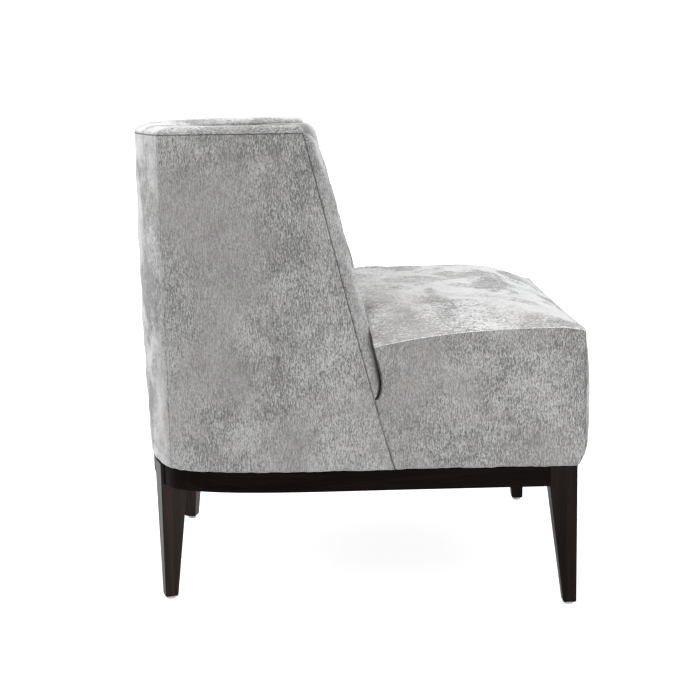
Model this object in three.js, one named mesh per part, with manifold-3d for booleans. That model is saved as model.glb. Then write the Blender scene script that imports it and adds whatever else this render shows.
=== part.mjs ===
import * as THREE from 'three';
import { mergeVertices } from 'three/addons/utils/BufferGeometryUtils.js';
import Module from 'manifold-3d';

// An upholstered slipper chair: a barrel back and a crowned seat on a low wood base with four
// tapered legs. Millimetres, +Z up, front towards -Y, origin on the floor under the middle.

const wasm = await Module();
wasm.setup();

// Overall size
const hem_width = 640;
const overall_depth = 742;
const overall_height = 775;

// Heights above the floor
const hem_height = 233;
const seat_seam_height = 456;
const seat_seam_fall = 26;
const seat_corner_drop = 6;
const seat_crown = 36;

// Plan of the upholstery
const side_bulge = 5;
const side_lean = 25;
const front_bulge = 14;
const front_bow = 9;
const front_overhang = 17;
const back_bulge = 3;
const back_lean = 9.7;
const seat_side_share = 0.407;
const wing_rake_share = 0.1833;
const hem_corner_share = 0.8607;
const hem_corner_setback = 54;
const top_corner_share = 0.8859;
const top_corner_setback = 59;

// The barrel as it is seen from the seat
const wing_thickness = 78;
const wing_crown = 18.5;
const wing_crown_drop = 9;
const wing_crown_fade = 35;
const barrel_depth_share = 0.2582;
const barrel_power = 2.4;
const top_roll = 20;
const top_band_crown = 11;

// Covers, pads and webbing
const cover_thickness = 3;
const back_pad_thickness = 32;
const webbing_thickness = 2;
const webbing_width = 60;
const webbing_lap = 20;
const webbing_slack = 1.2;
const webbing_step = 18;
const seat_front_roll = 150;
const seat_side_roll = 130;
const seat_rear_roll = 60;
const seat_crevice = 1;
const seat_foam_crevice = 2.5;
const pad_slack = 1;
const rear_swell_share = 0.8;
const cross_webbing_shares = [0.16, 0.37, 0.64];
const long_webbing_places = [60, 140];
const back_webbing_place = 120;

// Clearances
const gap = 0.3;
const seam_gap = 0.2;
const overrun = 40;
const weld_distance = 0.001;

// Wood base
const base_setback = 3;
const base_rail_height = 33;
const base_rail_thickness = 22;
const leg_width = 44;
const foot_width = 21.5;
const foot_chamfer = 1.5;
const leg_setback = 2;
const front_leg_setback = 12;
const front_rail_recess = 1;
const rear_leg_inset = 74.5;
const rear_leg_setback = 33.3;
const rear_leg_toe = THREE.MathUtils.degToRad(16.5);
const block_reach = 132;
const block_drop = 5;

// Glides, bolts and screws
const glide_radius = 7.5;
const glide_height = 4.7;
const glide_edge = 1.3;
const nail_radius = 1.5;
const nail_length = 18;
const bolt_radius = 3;
const bolt_head_radius = 6.5;
const bolt_head_height = 4;
const bolt_tip = 30;
const bolt_seat = 84;
const bolt_pocket_radius = 9;
const screw_radius = 2.2;
const screw_head_radius = 5;
const screw_head_height = 3;
const screw_length = 52;
const screw_point = 3;
const screw_pocket_depth = 10;
const screw_setback_shares = [0.15, 0.62];

// Seat frame and back frame
const seat_rail_share = 0.4222;
const seat_rail_thickness = 25;
const dust_cover_thickness = 0.8;
const dust_cover_setback = 8;
const plywood_thickness = 18;
const lower_rail_height = 446;
const wing_post_width = 24;
const wing_post_depth = 42;
const wing_post_setback = 6;
const rear_post_width = 40;
const rear_post_depth = 20;
const rear_post_setback = 8;

// Fineness of the curves
const side_steps = 8;
const rear_steps = 6;
const crown_steps = 5;
const round_steps = 14;
const base_fineness = 3;

// Values that follow from the sizes above
const half_width = hem_width / 2;
const front_seam_y = front_overhang - overall_depth / 2;
const hem_back_y = overall_depth / 2 - back_lean;
const back_seam_height = overall_height - top_band_crown;
const wing_foot_y = front_seam_y + overall_depth * seat_side_share;
const wing_rake = overall_depth * wing_rake_share;
const barrel_depth = overall_depth * barrel_depth_share;
const base_top = hem_height - gap;
const base_bottom = base_top - base_rail_height;
const seat_top_height = seat_seam_height + seat_crown;
const seat_frame_bottom = hem_height + dust_cover_thickness + gap;
const seat_frame_top = seat_frame_bottom + (seat_seam_height - hem_height) * seat_rail_share;
const cross_webbing_bottom = seat_frame_top + gap;
const long_webbing_bottom = cross_webbing_bottom + webbing_thickness + gap;
const seat_deck = long_webbing_bottom + webbing_thickness + gap;
const wing_crown_foot = seat_deck - wing_crown_drop;
const top_rail_top = back_seam_height - cover_thickness - gap;
const top_rail_bottom = top_rail_top - plywood_thickness;
const frame_depth = cover_thickness + gap;
const leg_bottom = glide_height + gap;

// Finishes
const stained_wood = { color: 0x261d1a, roughness: 0.42, metalness: 0 };
const frame_wood = { color: 0xb99a6b, roughness: 0.8, metalness: 0 };
const fabric = { color: 0xa3a09d, roughness: 0.95, metalness: 0 };
const foam = { color: 0xe6dfc8, roughness: 1, metalness: 0 };
const strap = { color: 0x2b2b2b, roughness: 0.9, metalness: 0 };
const lining = { color: 0x1b1b1b, roughness: 1, metalness: 0 };
const steel = { color: 0x9c9c9c, roughness: 0.35, metalness: 0.9 };
const plastic = { color: 0xcfcfcc, roughness: 0.5, metalness: 0 };

const chair = new THREE.Group();

function add(name, geometry, finish) {
  const mesh = new THREE.Mesh(geometry, new THREE.MeshStandardMaterial(finish));
  mesh.name = name;
  chair.add(mesh);
}

// Adds a piece on the near side and its mirror image on the far side
function addPair(name, geometry, finish) {
  add(`${name}_right`, geometry, finish);
  add(`${name}_left`, mirror(geometry), finish);
}

// The mirror image of a solid, its triangles turned the right way out again
function mirror(geometry) {
  const image = geometry.clone().scale(-1, 1, 1);
  const order = Array.from(image.index.array);
  for (let start = 0; start < order.length; start += 3) {
    [order[start + 1], order[start + 2]] = [order[start + 2], order[start + 1]];
  }
  image.setIndex(order);
  return image;
}

function mix(from, to, share) {
  return from + (to - from) * share;
}

function smooth(share) {
  const held = Math.min(Math.max(share, 0), 1);
  return held * held * (3 - 2 * held);
}

// A soft swell that is nothing at both ends and 1 in the middle
function pillow(share) {
  return Math.sin(Math.PI * Math.min(Math.max(share, 0), 1));
}

// A quarter round: 0 at the edge, 1 at a reach and beyond
function quarterRound(distance, reach) {
  const left = 1 - Math.min(Math.max(distance / reach, 0), 1);
  return Math.sqrt(1 - left * left);
}

function range(steps) {
  return Array.from({ length: steps + 1 }, (_, step) => step / steps);
}

// A closed solid from points and triangles, turned the right way out
function closedSolid(points, triangles) {
  let volume = 0;
  for (const [a, b, c] of triangles) {
    volume += points[a].dot(points[b].clone().cross(points[c]));
  }
  const ordered = volume < 0 ? triangles.map(([a, b, c]) => [a, c, b]) : triangles;
  const geometry = new THREE.BufferGeometry().setFromPoints(points);
  geometry.setIndex(ordered.flat());
  geometry.computeVertexNormals();
  return geometry;
}

// A solid through closed rings of points that lie one above the other
function loft(rings) {
  const count = rings[0].length;
  const triangles = [];
  for (let level = 0; level < rings.length - 1; level += 1) {
    for (let corner = 0; corner < count; corner += 1) {
      const a = level * count + corner;
      const b = level * count + (corner + 1) % count;
      triangles.push([a, b, b + count]);
      triangles.push([a, b + count, a + count]);
    }
  }
  const last = (rings.length - 1) * count;
  const outline = rings[0].map((point) => new THREE.Vector2(point.x, point.y));
  const clockwise = THREE.ShapeUtils.isClockWise(outline);
  for (const [a, b, c] of THREE.ShapeUtils.triangulateShape(outline, [])) {
    triangles.push(clockwise ? [a, b, c] : [a, c, b]);
    triangles.push(clockwise ? [last + a, last + c, last + b] : [last + a, last + b, last + c]);
  }
  return closedSolid(rings.flat(), triangles);
}

// Triangles of a grid of points, rows by columns, whose first point has the index start
function gridTriangles(rows, columns, start, flipped) {
  const triangles = [];
  for (let row = 0; row < rows - 1; row += 1) {
    for (let column = 0; column < columns - 1; column += 1) {
      const a = start + row * columns + column;
      const c = a + columns;
      triangles.push(flipped ? [a, c + 1, a + 1] : [a, a + 1, c + 1]);
      triangles.push(flipped ? [a, c, c + 1] : [a, c + 1, c]);
    }
  }
  return triangles;
}

// A sheet with thickness between an outer and an inner grid of points
function sheet(outer, inner) {
  const rows = outer.length;
  const columns = outer[0].length;
  const total = rows * columns;
  const triangles = [
    ...gridTriangles(rows, columns, 0, false),
    ...gridTriangles(rows, columns, total, true),
  ];
  const rim = [];
  for (let column = 0; column < columns - 1; column += 1) {
    rim.push([column + 1, column]);
    rim.push([total - columns + column, total - columns + column + 1]);
  }
  for (let row = 0; row < rows - 1; row += 1) {
    rim.push([row * columns, (row + 1) * columns]);
    rim.push([(row + 2) * columns - 1, (row + 1) * columns - 1]);
  }
  for (const [a, b] of rim) {
    triangles.push([a, b, b + total]);
    triangles.push([a, b + total, a + total]);
  }
  return closedSolid([...outer.flat(), ...inner.flat()], triangles);
}

// A solid closed by grids that share their edges, each turned away from the middle
function closedByGrids(grids, middle) {
  const points = [];
  const triangles = [];
  for (const grid of grids) {
    const start = points.length;
    points.push(...grid.flat());
    const faces = gridTriangles(grid.length, grid[0].length, start, false);
    let outward = 0;
    for (const [a, b, c] of faces) {
      const side = points[b].clone().sub(points[a]);
      const normal = side.cross(points[c].clone().sub(points[a]));
      outward += normal.dot(points[a].clone().sub(middle));
    }
    triangles.push(...gridTriangles(grid.length, grid[0].length, start, outward < 0));
  }
  const geometry = new THREE.BufferGeometry().setFromPoints(points);
  geometry.setIndex(triangles.flat());
  const welded = mergeVertices(geometry, weld_distance);
  welded.computeVertexNormals();
  return welded;
}

// Draws the four edges of a grid back from its seams
function drawBack(grid) {
  const last_row = grid.length - 1;
  const last = grid[0].length - 1;
  const pull = (point, next) => point.clone().lerp(next, seam_gap / point.distanceTo(next));
  const rows = grid.map((row, index) => {
    const next = index === 0 ? grid[1] : grid[index - 1];
    const moves = index === 0 || index === last_row;
    return row.map((point, column) => (moves ? pull(point, next[column]) : point.clone()));
  });
  for (const row of rows) {
    row[0] = pull(row[0], row[1]);
    row[last] = pull(row[last], row[last - 1]);
  }
  return rows;
}

// Boolean cuts
function toManifold(geometry) {
  const plain = geometry.clone();
  plain.deleteAttribute('normal');
  plain.deleteAttribute('uv');
  const merged = mergeVertices(plain, weld_distance);
  return new wasm.Manifold(new wasm.Mesh({
    numProp: 3,
    vertProperties: new Float32Array(merged.attributes.position.array),
    triVerts: new Uint32Array(merged.index.array),
  }));
}

function toGeometry(solid) {
  const mesh = solid.getMesh();
  const geometry = new THREE.BufferGeometry();
  geometry.setAttribute('position', new THREE.BufferAttribute(mesh.vertProperties, 3));
  geometry.setIndex(new THREE.BufferAttribute(mesh.triVerts, 1));
  geometry.computeVertexNormals();
  return geometry;
}

function cut(geometry, ...tools) {
  let solid = toManifold(geometry);
  for (const tool of tools) {
    solid = solid.subtract(toManifold(tool));
  }
  return toGeometry(solid);
}

function keep(geometry, region) {
  return toGeometry(toManifold(geometry).intersect(toManifold(region)));
}

// Plan outlines
function flat(point, height) {
  return new THREE.Vector3(point.x, point.y, height);
}

function mirrored(points) {
  return points.map((point) => {
    const copy = point.clone();
    copy.x = -point.x;
    return copy;
  });
}

// A half that ends in the middle, and its mirror image after it
function whole(half) {
  return [...half, ...mirrored(half).reverse().slice(1)];
}

// Directions that move a path one unit to its right, with mitred corners
function rightOf(path) {
  return path.map((point, index) => {
    const before = path[Math.max(index - 1, 0)];
    const after = path[Math.min(index + 1, path.length - 1)];
    const arriving = new THREE.Vector2(point.x - before.x, point.y - before.y);
    const leaving = new THREE.Vector2(after.x - point.x, after.y - point.y);
    if (index === 0) {
      arriving.copy(leaving);
    }
    if (index === path.length - 1) {
      leaving.copy(arriving);
    }
    arriving.normalize();
    leaving.normalize();
    const along = arriving.clone().add(leaving).normalize();
    const reach = 1 / along.dot(arriving);
    return new THREE.Vector2(along.y * reach, -along.x * reach);
  });
}

function insetPath(path, distance) {
  const directions = rightOf(path);
  return path.map((point, index) => {
    const copy = point.clone();
    copy.x += directions[index].x * distance;
    copy.y += directions[index].y * distance;
    return copy;
  });
}

function plate(outline, bottom, top) {
  return loft([bottom, top].map((height) => outline.map((point) => flat(point, height))));
}

function upright(radius, bottom, top, x, y) {
  const height = top - bottom;
  const bar = new THREE.CylinderGeometry(radius, radius, height, round_steps);
  return bar.rotateX(Math.PI / 2).translate(x, y, bottom + height / 2);
}

// Where a path crosses a line at a given place along one axis
function crossing(path, axis, value) {
  const other = axis === 'x' ? 'y' : 'x';
  for (let index = 1; index < path.length; index += 1) {
    const from = path[index - 1];
    const to = path[index];
    if ((from[axis] - value) * (to[axis] - value) <= 0 && from[axis] !== to[axis]) {
      return mix(from[other], to[other], (value - from[axis]) / (to[axis] - from[axis]));
    }
  }
  return path[path.length - 1][other];
}

// The outside walls: a share of 0 is the hem, 1 the seam under the top band
function wallShare(height) {
  return (height - hem_height) / (back_seam_height - hem_height);
}

function wallHalfWidth(height) {
  return half_width - side_lean * wallShare(height);
}

function wingSeamY(height) {
  return wing_foot_y + wing_rake * wallShare(height);
}

function wallBackY(height) {
  return hem_back_y + back_lean * wallShare(height);
}

function cornerPoint(height) {
  const share = wallShare(height);
  const half = wallHalfWidth(height) * mix(hem_corner_share, top_corner_share, share);
  const setback = mix(hem_corner_setback, top_corner_setback, share);
  return new THREE.Vector2(-half, wallBackY(height) - setback);
}

// Handles of the side curve, from the wing seam to the rear corner: how far they stand out
// beyond the seam, and how far back they lie
const hem_side_shares = [[0.009, 0.458], [0.022, 0.847]];
const top_side_shares = [[-0.003, 0.34], [-0.044, 0.705]];

function sideStretch(height) {
  const wide = wallHalfWidth(height);
  const front = wingSeamY(height);
  const corner = cornerPoint(height);
  const handles = [0, 1].map((index) => {
    const out = mix(hem_side_shares[index][0], top_side_shares[index][0], wallShare(height));
    const back = mix(hem_side_shares[index][1], top_side_shares[index][1], wallShare(height));
    return new THREE.Vector2(-wide * (1 + out), mix(front, corner.y, back));
  });
  return new THREE.CubicBezierCurve(new THREE.Vector2(-wide, front), ...handles, corner);
}

// Handles of the bowed back, from the corner to the middle: shares of the corner's half width
// and of its setback
const hem_back_shares = [[0.9, 0.48], [0.54, 0]];
const top_back_shares = [[0.85, 0.56], [0.49, 0]];

function backStretch(height) {
  const corner = cornerPoint(height);
  const back = wallBackY(height);
  const handles = [0, 1].map((index) => {
    const out = mix(hem_back_shares[index][0], top_back_shares[index][0], wallShare(height));
    const front = mix(hem_back_shares[index][1], top_back_shares[index][1], wallShare(height));
    return new THREE.Vector2(corner.x * out, back - (back - corner.y) * front);
  });
  return new THREE.CubicBezierCurve(corner, ...handles, new THREE.Vector2(0, back));
}

// From the near wing seam round the back to the far wing seam
function backWall(height, fineness = 1) {
  return whole([
    ...sideStretch(height).getPoints(side_steps * fineness),
    ...backStretch(height).getPoints(rear_steps * fineness).slice(1),
  ]);
}

const middle_column = side_steps + rear_steps;
const last_column = 2 * middle_column;

// The same with the straight sides of the seat, open at the front
function wholeWall(height, front_y = front_seam_y, fineness = 1) {
  const front = new THREE.Vector2(-wallHalfWidth(height), front_y);
  return [front, ...backWall(height, fineness), new THREE.Vector2(-front.x, front.y)];
}

// A band that follows the walls from one column to another, between two depths
function wallBand(path_at, columns, depths, heights) {
  return loft(heights.map((height) => {
    const path = path_at(height);
    const lines = depths.map((depth) => insetPath(path, depth).slice(...columns));
    for (const line of lines) {
      const last = line.length - 1;
      line[0].lerp(line[1], seam_gap / line[0].distanceTo(line[1]));
      line[last].lerp(line[last - 1], seam_gap / line[last].distanceTo(line[last - 1]));
    }
    return [...lines[0], ...lines[1].reverse()].map((point) => flat(point, height));
  }));
}

// The barrel, from the near wing seam over the crown of the wing to the middle of the back.
// The roll is the angle over the top edge.
const barrel_angles = [
  ...range(side_steps).map((share) => share * Math.PI / 4),
  ...range(rear_steps).slice(1).map((share) => (1 + share) * Math.PI / 4),
];

function wingCrown(height) {
  return wing_crown * smooth((height - wing_crown_foot) / wing_crown_fade);
}

function barrelCurve(height, push) {
  const across = wallHalfWidth(height) - wing_thickness + push;
  const deep = barrel_depth + push;
  return barrel_angles.map((angle, index) => {
    const cosine = index === middle_column ? 0 : Math.cos(angle);
    const x = -across * Math.pow(cosine, 2 / barrel_power);
    const y = wingSeamY(height) + deep * Math.pow(Math.sin(angle), 2 / barrel_power);
    return new THREE.Vector2(x, y);
  });
}

function barrel(height, roll) {
  const retreat = top_roll * (1 - Math.cos(roll));
  const width = wing_thickness - retreat;
  const crown = range(crown_steps).slice(0, -1).map((share) => {
    const x = width * (1 - Math.cos(Math.PI * share)) / 2 - wallHalfWidth(height);
    const rise = wingCrown(height) * Math.cos(roll) * Math.sin(Math.PI * share);
    return new THREE.Vector2(x, wingSeamY(height) - rise);
  });
  return whole([...crown, ...barrelCurve(height, retreat)]);
}

// Wood base: four legs, four rails and the blocks in the corners
const leg_corner_front = new THREE.Vector2(
  leg_setback - half_width,
  front_seam_y + front_leg_setback,
);
const leg_corner_rear = new THREE.Vector2(
  rear_leg_inset - half_width,
  hem_back_y - rear_leg_setback,
);
const bolt_height = mix(base_bottom + block_drop, base_top, 0.5);

// Leg places: u runs inward along the end face, v along the side face
function legFrame(corner, turn, towards_rear) {
  const u = new THREE.Vector2(Math.cos(turn), Math.sin(turn));
  const v = new THREE.Vector2(-Math.sin(turn), Math.cos(turn)).multiplyScalar(towards_rear);
  return (across, along) => corner.clone().addScaledVector(u, across).addScaledVector(v, along);
}

const front_leg = legFrame(leg_corner_front, 0, 1);
const rear_leg = legFrame(leg_corner_rear, rear_leg_toe, -1);

function legSquare(place, from, to, height) {
  return [[from, from], [to, from], [to, to], [from, to]].map(([across, along]) => (
    flat(place(across, along), height)
  ));
}

function legHull(place, clearance) {
  return loft([
    legSquare(place, foot_chamfer - clearance, foot_width - foot_chamfer + clearance, leg_bottom),
    legSquare(place, -clearance, foot_width + clearance, leg_bottom + foot_chamfer),
    legSquare(place, -clearance, leg_width + clearance, base_bottom),
    legSquare(place, -clearance, leg_width + clearance, base_top),
  ]);
}

// A bar along the diagonal of a leg, from one distance to another
function legBar(place, radius, from, to) {
  const start = flat(place(from / Math.SQRT2, from / Math.SQRT2), bolt_height);
  const end = flat(place(to / Math.SQRT2, to / Math.SQRT2), bolt_height);
  const bar = new THREE.CylinderGeometry(radius, radius, end.distanceTo(start), round_steps);
  return alongLine(bar, start.clone().add(end).multiplyScalar(0.5), end.sub(start));
}

function alongLine(geometry, middle, direction) {
  const up = new THREE.Vector3(0, 1, 0);
  const turn = new THREE.Quaternion().setFromUnitVectors(up, direction.clone().normalize());
  return geometry.applyQuaternion(turn).translate(middle.x, middle.y, middle.z);
}

function leg(place) {
  const foot = place(foot_width / 2, foot_width / 2);
  const nail_top = leg_bottom + nail_length + gap;
  return cut(
    legHull(place, 0),
    legBar(place, bolt_radius + gap, bolt_tip - gap, leg_width * 2),
    upright(nail_radius + gap, leg_bottom - overrun, nail_top, foot.x, foot.y),
  );
}

function glide(place) {
  const foot = place(foot_width / 2, foot_width / 2);
  const profile = [
    [0, 0],
    [glide_radius - glide_edge, 0],
    [glide_radius, glide_edge],
    [glide_radius, glide_height - glide_edge / 2],
    [glide_radius - glide_edge / 2, glide_height],
    [nail_radius, glide_height],
    [nail_radius, leg_bottom + nail_length - nail_radius],
    [0, leg_bottom + nail_length],
  ].map(([radius, height]) => new THREE.Vector2(radius, height));
  const solid = new THREE.LatheGeometry(profile, round_steps).rotateX(Math.PI / 2);
  return cleaned(solid.translate(foot.x, foot.y, 0));
}

// A revolved solid with its seam and its axis points merged
function cleaned(geometry) {
  geometry.deleteAttribute('normal');
  geometry.deleteAttribute('uv');
  const merged = mergeVertices(geometry, weld_distance);
  const order = Array.from(merged.index.array);
  const points = [];
  const place = merged.attributes.position;
  for (let index = 0; index < place.count; index += 1) {
    points.push(new THREE.Vector3().fromBufferAttribute(place, index));
  }
  const triangles = [];
  for (let start = 0; start < order.length; start += 3) {
    const [a, b, c] = order.slice(start, start + 3);
    if (a !== b && b !== c && c !== a) {
      triangles.push([a, b, c]);
    }
  }
  return closedSolid(points, triangles);
}

function legBolt(place) {
  const length = bolt_seat - bolt_tip;
  const profile = [
    [0, 0],
    [bolt_radius, 0],
    [bolt_radius, length],
    [bolt_head_radius, length],
    [bolt_head_radius, length + bolt_head_height],
    [0, length + bolt_head_height],
  ].map(([radius, height]) => new THREE.Vector2(radius, height));
  const start = flat(place(bolt_tip / Math.SQRT2, bolt_tip / Math.SQRT2), bolt_height);
  const end = flat(place(bolt_seat / Math.SQRT2, bolt_seat / Math.SQRT2), bolt_height);
  const bolt = new THREE.LatheGeometry(profile, round_steps);
  return cleaned(alongLine(bolt, start, end.sub(start)));
}

addPair('front_leg', leg(front_leg), stained_wood);
addPair('rear_leg', leg(rear_leg), stained_wood);
addPair('front_glide', glide(front_leg), plastic);
addPair('rear_glide', glide(rear_leg), plastic);
addPair('front_leg_bolt', legBolt(front_leg), steel);
addPair('rear_leg_bolt', legBolt(rear_leg), steel);

// A block far larger than the base, on one side of a line across a leg
function beyondLeg(place, from, to) {
  const far = overall_depth;
  const outline = [place(from, -far), place(to, -far), place(to, far), place(from, far)];
  return plate(outline, base_bottom - overrun, base_top + overrun);
}

// Screws up through the side rails into the seat frame
const screw_bottom = base_bottom + screw_pocket_depth - gap - screw_head_height;
const base_wall = wholeWall(hem_height, front_seam_y, base_fineness);
const rail_middle = insetPath(base_wall, base_setback + base_rail_thickness / 2);
const screw_places = screw_setback_shares.map((share) => {
  const y = front_seam_y + overall_depth * share;
  return new THREE.Vector2(crossing(rail_middle, 'y', y), y);
});

function screwHoles(radius) {
  const top = screw_bottom + screw_length + gap;
  return screw_places.map(({ x, y }) => upright(radius, base_bottom - overrun, top, x, y));
}

function screwPockets() {
  const top = base_bottom + screw_pocket_depth;
  const radius = screw_head_radius + gap;
  return screw_places.map(({ x, y }) => upright(radius, base_bottom - overrun, top, x, y));
}

function seatScrew({ x, y }) {
  const profile = [
    [0, 0],
    [screw_head_radius, 0],
    [screw_head_radius, screw_head_height],
    [screw_radius, screw_head_height],
    [screw_radius, screw_length - screw_point],
    [0, screw_length],
  ].map(([radius, height]) => new THREE.Vector2(radius, height));
  const screw = new THREE.LatheGeometry(profile, round_steps).rotateX(Math.PI / 2);
  return cleaned(screw.translate(x, y, screw_bottom));
}

screw_places.forEach((place, index) => {
  addPair(`seat_screw_${index + 1}`, seatScrew(place), steel);
});

// The side rail bends inward at the back and ends on the side face of the rear leg
const side_rail_front = leg_corner_front.y + leg_width + gap;
const side_rail = wallBand(
  () => wholeWall(hem_height, side_rail_front, base_fineness),
  [0, base_fineness * (side_steps + rear_steps - 2)],
  [base_setback, base_setback + base_rail_thickness],
  [base_bottom, base_top],
);
addPair('base_side_rail', cut(
  side_rail,
  beyondLeg(rear_leg, -gap, overall_depth),
  ...screwHoles(screw_radius + gap),
  ...screwPockets(),
), stained_wood);

function baseRearRail() {
  const lines = [base_setback, base_setback + base_rail_thickness].map((depth) => (
    insetPath(base_wall, depth).slice(side_steps * base_fineness, -side_steps * base_fineness)
  ));
  const band = plate([...lines[0], ...lines[1].reverse()], base_bottom, base_top);
  const near = beyondLeg(rear_leg, -overall_depth, leg_width + gap);
  const far = beyondLeg((u, v) => mirrored([rear_leg(u, v)])[0], -overall_depth, leg_width + gap);
  return cut(band, near, far);
}
add('base_rear_rail', baseRearRail(), stained_wood);

const front_rail_y = leg_corner_front.y + front_rail_recess;
const front_rail_half = -leg_corner_front.x - leg_width - gap;
add('base_front_rail', plate([
  new THREE.Vector2(-front_rail_half, front_rail_y),
  new THREE.Vector2(front_rail_half, front_rail_y),
  new THREE.Vector2(front_rail_half, front_rail_y + base_rail_thickness),
  new THREE.Vector2(-front_rail_half, front_rail_y + base_rail_thickness),
], base_bottom, base_top), stained_wood);

// A corner block fills the corner inside the rails, cut round the leg, with a pocket for the bolt
function cornerBlock(place, corner, towards_rear) {
  const reach = block_reach + overrun;
  const triangle = [[-overrun, -overrun], [reach, -overrun], [-overrun, reach]].map(([x, y]) => (
    new THREE.Vector2(corner.x + x, corner.y + y * towards_rear)
  ));
  const inner_depth = base_setback + base_rail_thickness + gap;
  const inside = insetPath(base_wall, inner_depth);
  inside[0].y = front_rail_y + base_rail_thickness + gap;
  inside[inside.length - 1].y = inside[0].y;
  return cut(
    keep(
      plate(triangle, base_bottom + block_drop, base_top),
      plate(inside, base_bottom, base_top + overrun),
    ),
    legHull(place, gap),
    legBar(place, bolt_radius + gap, 0, bolt_seat + overrun),
    legBar(place, bolt_pocket_radius, bolt_seat, bolt_seat + block_reach),
  );
}

addPair('front_corner_block', cornerBlock(front_leg, leg_corner_front, 1), frame_wood);
addPair('rear_corner_block', cornerBlock(rear_leg, leg_corner_rear, -1), frame_wood);

// Dust cover under the seat frame
const dust_outline = insetPath(wholeWall(hem_height), dust_cover_setback);
dust_outline[0].y += dust_cover_setback;
dust_outline[dust_outline.length - 1].y += dust_cover_setback;
const dust_holes = screwHoles(screw_radius + gap);
const far_dust_holes = screw_places.map(({ x, y }) => (
  upright(screw_radius + gap, base_bottom, seat_frame_top, -x, y)
));
add('dust_cover', cut(
  plate(dust_outline, hem_height, hem_height + dust_cover_thickness),
  ...dust_holes,
  ...far_dust_holes,
), lining);

// Seat frame: straight side rails as far as the bend, one bent rail round the back
const bend_column = side_steps / 2 + 1;
const seat_rail_depths = [frame_depth, frame_depth + seat_rail_thickness];
const seat_rail_heights = [seat_frame_bottom, seat_frame_top];
const seat_wall = (height) => wholeWall(height, front_seam_y + frame_depth);
addPair('seat_frame_side_rail', cut(
  wallBand(seat_wall, [0, bend_column + 1], seat_rail_depths, seat_rail_heights),
  ...screwHoles(screw_radius + gap),
), frame_wood);
add('seat_frame_rear_rail', wallBand(
  seat_wall,
  [bend_column, last_column + 3 - bend_column],
  seat_rail_depths,
  seat_rail_heights,
), frame_wood);
add('seat_frame_front_rail', loft(seat_rail_heights.map((height) => {
  const half = wallHalfWidth(height) - seat_rail_depths[1] - gap;
  const front = front_seam_y + seat_rail_depths[0];
  const rear = front_seam_y + seat_rail_depths[1];
  return [[-half, front], [half, front], [half, rear], [-half, rear]].map(([x, y]) => (
    new THREE.Vector3(x, y, height)
  ));
})), frame_wood);

// Back frame: posts, a lower rail notched round them and a top rail
const rail_push = frame_depth + back_pad_thickness + gap + webbing_thickness + webbing_slack;

function wingPost(clearance, bottom, top) {
  return loft([bottom, top].map((height) => {
    const left = wing_post_setback - wallHalfWidth(height) - clearance;
    const right = left + wing_post_width + 2 * clearance;
    const front = wingSeamY(height) + frame_depth - clearance;
    const rear = front + wing_post_depth + 2 * clearance;
    return [[left, front], [right, front], [right, rear], [left, rear]].map(([x, y]) => (
      new THREE.Vector3(x, y, height)
    ));
  }));
}

function rearPost(column, clearance, bottom, top) {
  return loft([bottom, top].map((height) => {
    const path = insetPath(backWall(height), rear_post_setback - clearance);
    const along = path[column + 1].clone().sub(path[column - 1]).normalize();
    const inward = new THREE.Vector2(along.y, -along.x);
    const half = rear_post_width / 2 + clearance;
    const deep = rear_post_depth + 2 * clearance;
    return [[-half, 0], [half, 0], [half, deep], [-half, deep]].map(([side, depth]) => (
      flat(path[column].clone().addScaledVector(along, side).addScaledVector(inward, depth), height)
    ));
  }));
}

const post_bottom = seat_frame_top + gap;
const post_top = top_rail_bottom - gap;
const rear_post_column = side_steps + 2;
addPair('wing_post', wingPost(0, post_bottom, post_top), frame_wood);
addPair('rear_post', rearPost(rear_post_column, 0, post_bottom, post_top), frame_wood);
add('rear_post_middle', rearPost(middle_column, 0, post_bottom, post_top), frame_wood);

function barrelRail(bottom, top) {
  return loft([bottom, top].map((height) => {
    const outer = insetPath(backWall(height), frame_depth);
    const inner = whole(barrelCurve(height, rail_push)).reverse();
    const front = wingSeamY(height) + frame_depth;
    const ring = [...outer, ...inner].map((point) => flat(point, height));
    for (const point of ring) {
      point.y = Math.max(point.y, front);
    }
    return ring;
  }));
}

const notch_bottom = lower_rail_height - overrun;
const notch_top = lower_rail_height + plywood_thickness + overrun;
const wing_notch = wingPost(gap, notch_bottom, notch_top);
const rear_notch = rearPost(rear_post_column, gap, notch_bottom, notch_top);
add('back_lower_rail', cut(
  barrelRail(lower_rail_height, lower_rail_height + plywood_thickness),
  wing_notch,
  mirror(wing_notch),
  rear_notch,
  mirror(rear_notch),
  rearPost(middle_column, gap, notch_bottom, notch_top),
), frame_wood);
add('back_top_rail', barrelRail(top_rail_bottom, top_rail_top), frame_wood);

// Seat webbing: straps across lie on the side rails, straps lengthwise lie over them with their
// ends brought down to the rails
const rail_inner = insetPath(wholeWall(seat_frame_top), seat_rail_depths[1]);
const half_strap = webbing_width / 2;

cross_webbing_shares.forEach((share, index) => {
  const y = front_seam_y + overall_depth * share;
  const reach = webbing_lap - crossing(rail_inner, 'y', y);
  add(`seat_webbing_across_${index + 1}`, plate([
    new THREE.Vector2(-reach, y - half_strap),
    new THREE.Vector2(reach, y - half_strap),
    new THREE.Vector2(reach, y + half_strap),
    new THREE.Vector2(-reach, y + half_strap),
  ], cross_webbing_bottom, cross_webbing_bottom + webbing_thickness), strap);
});

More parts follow.
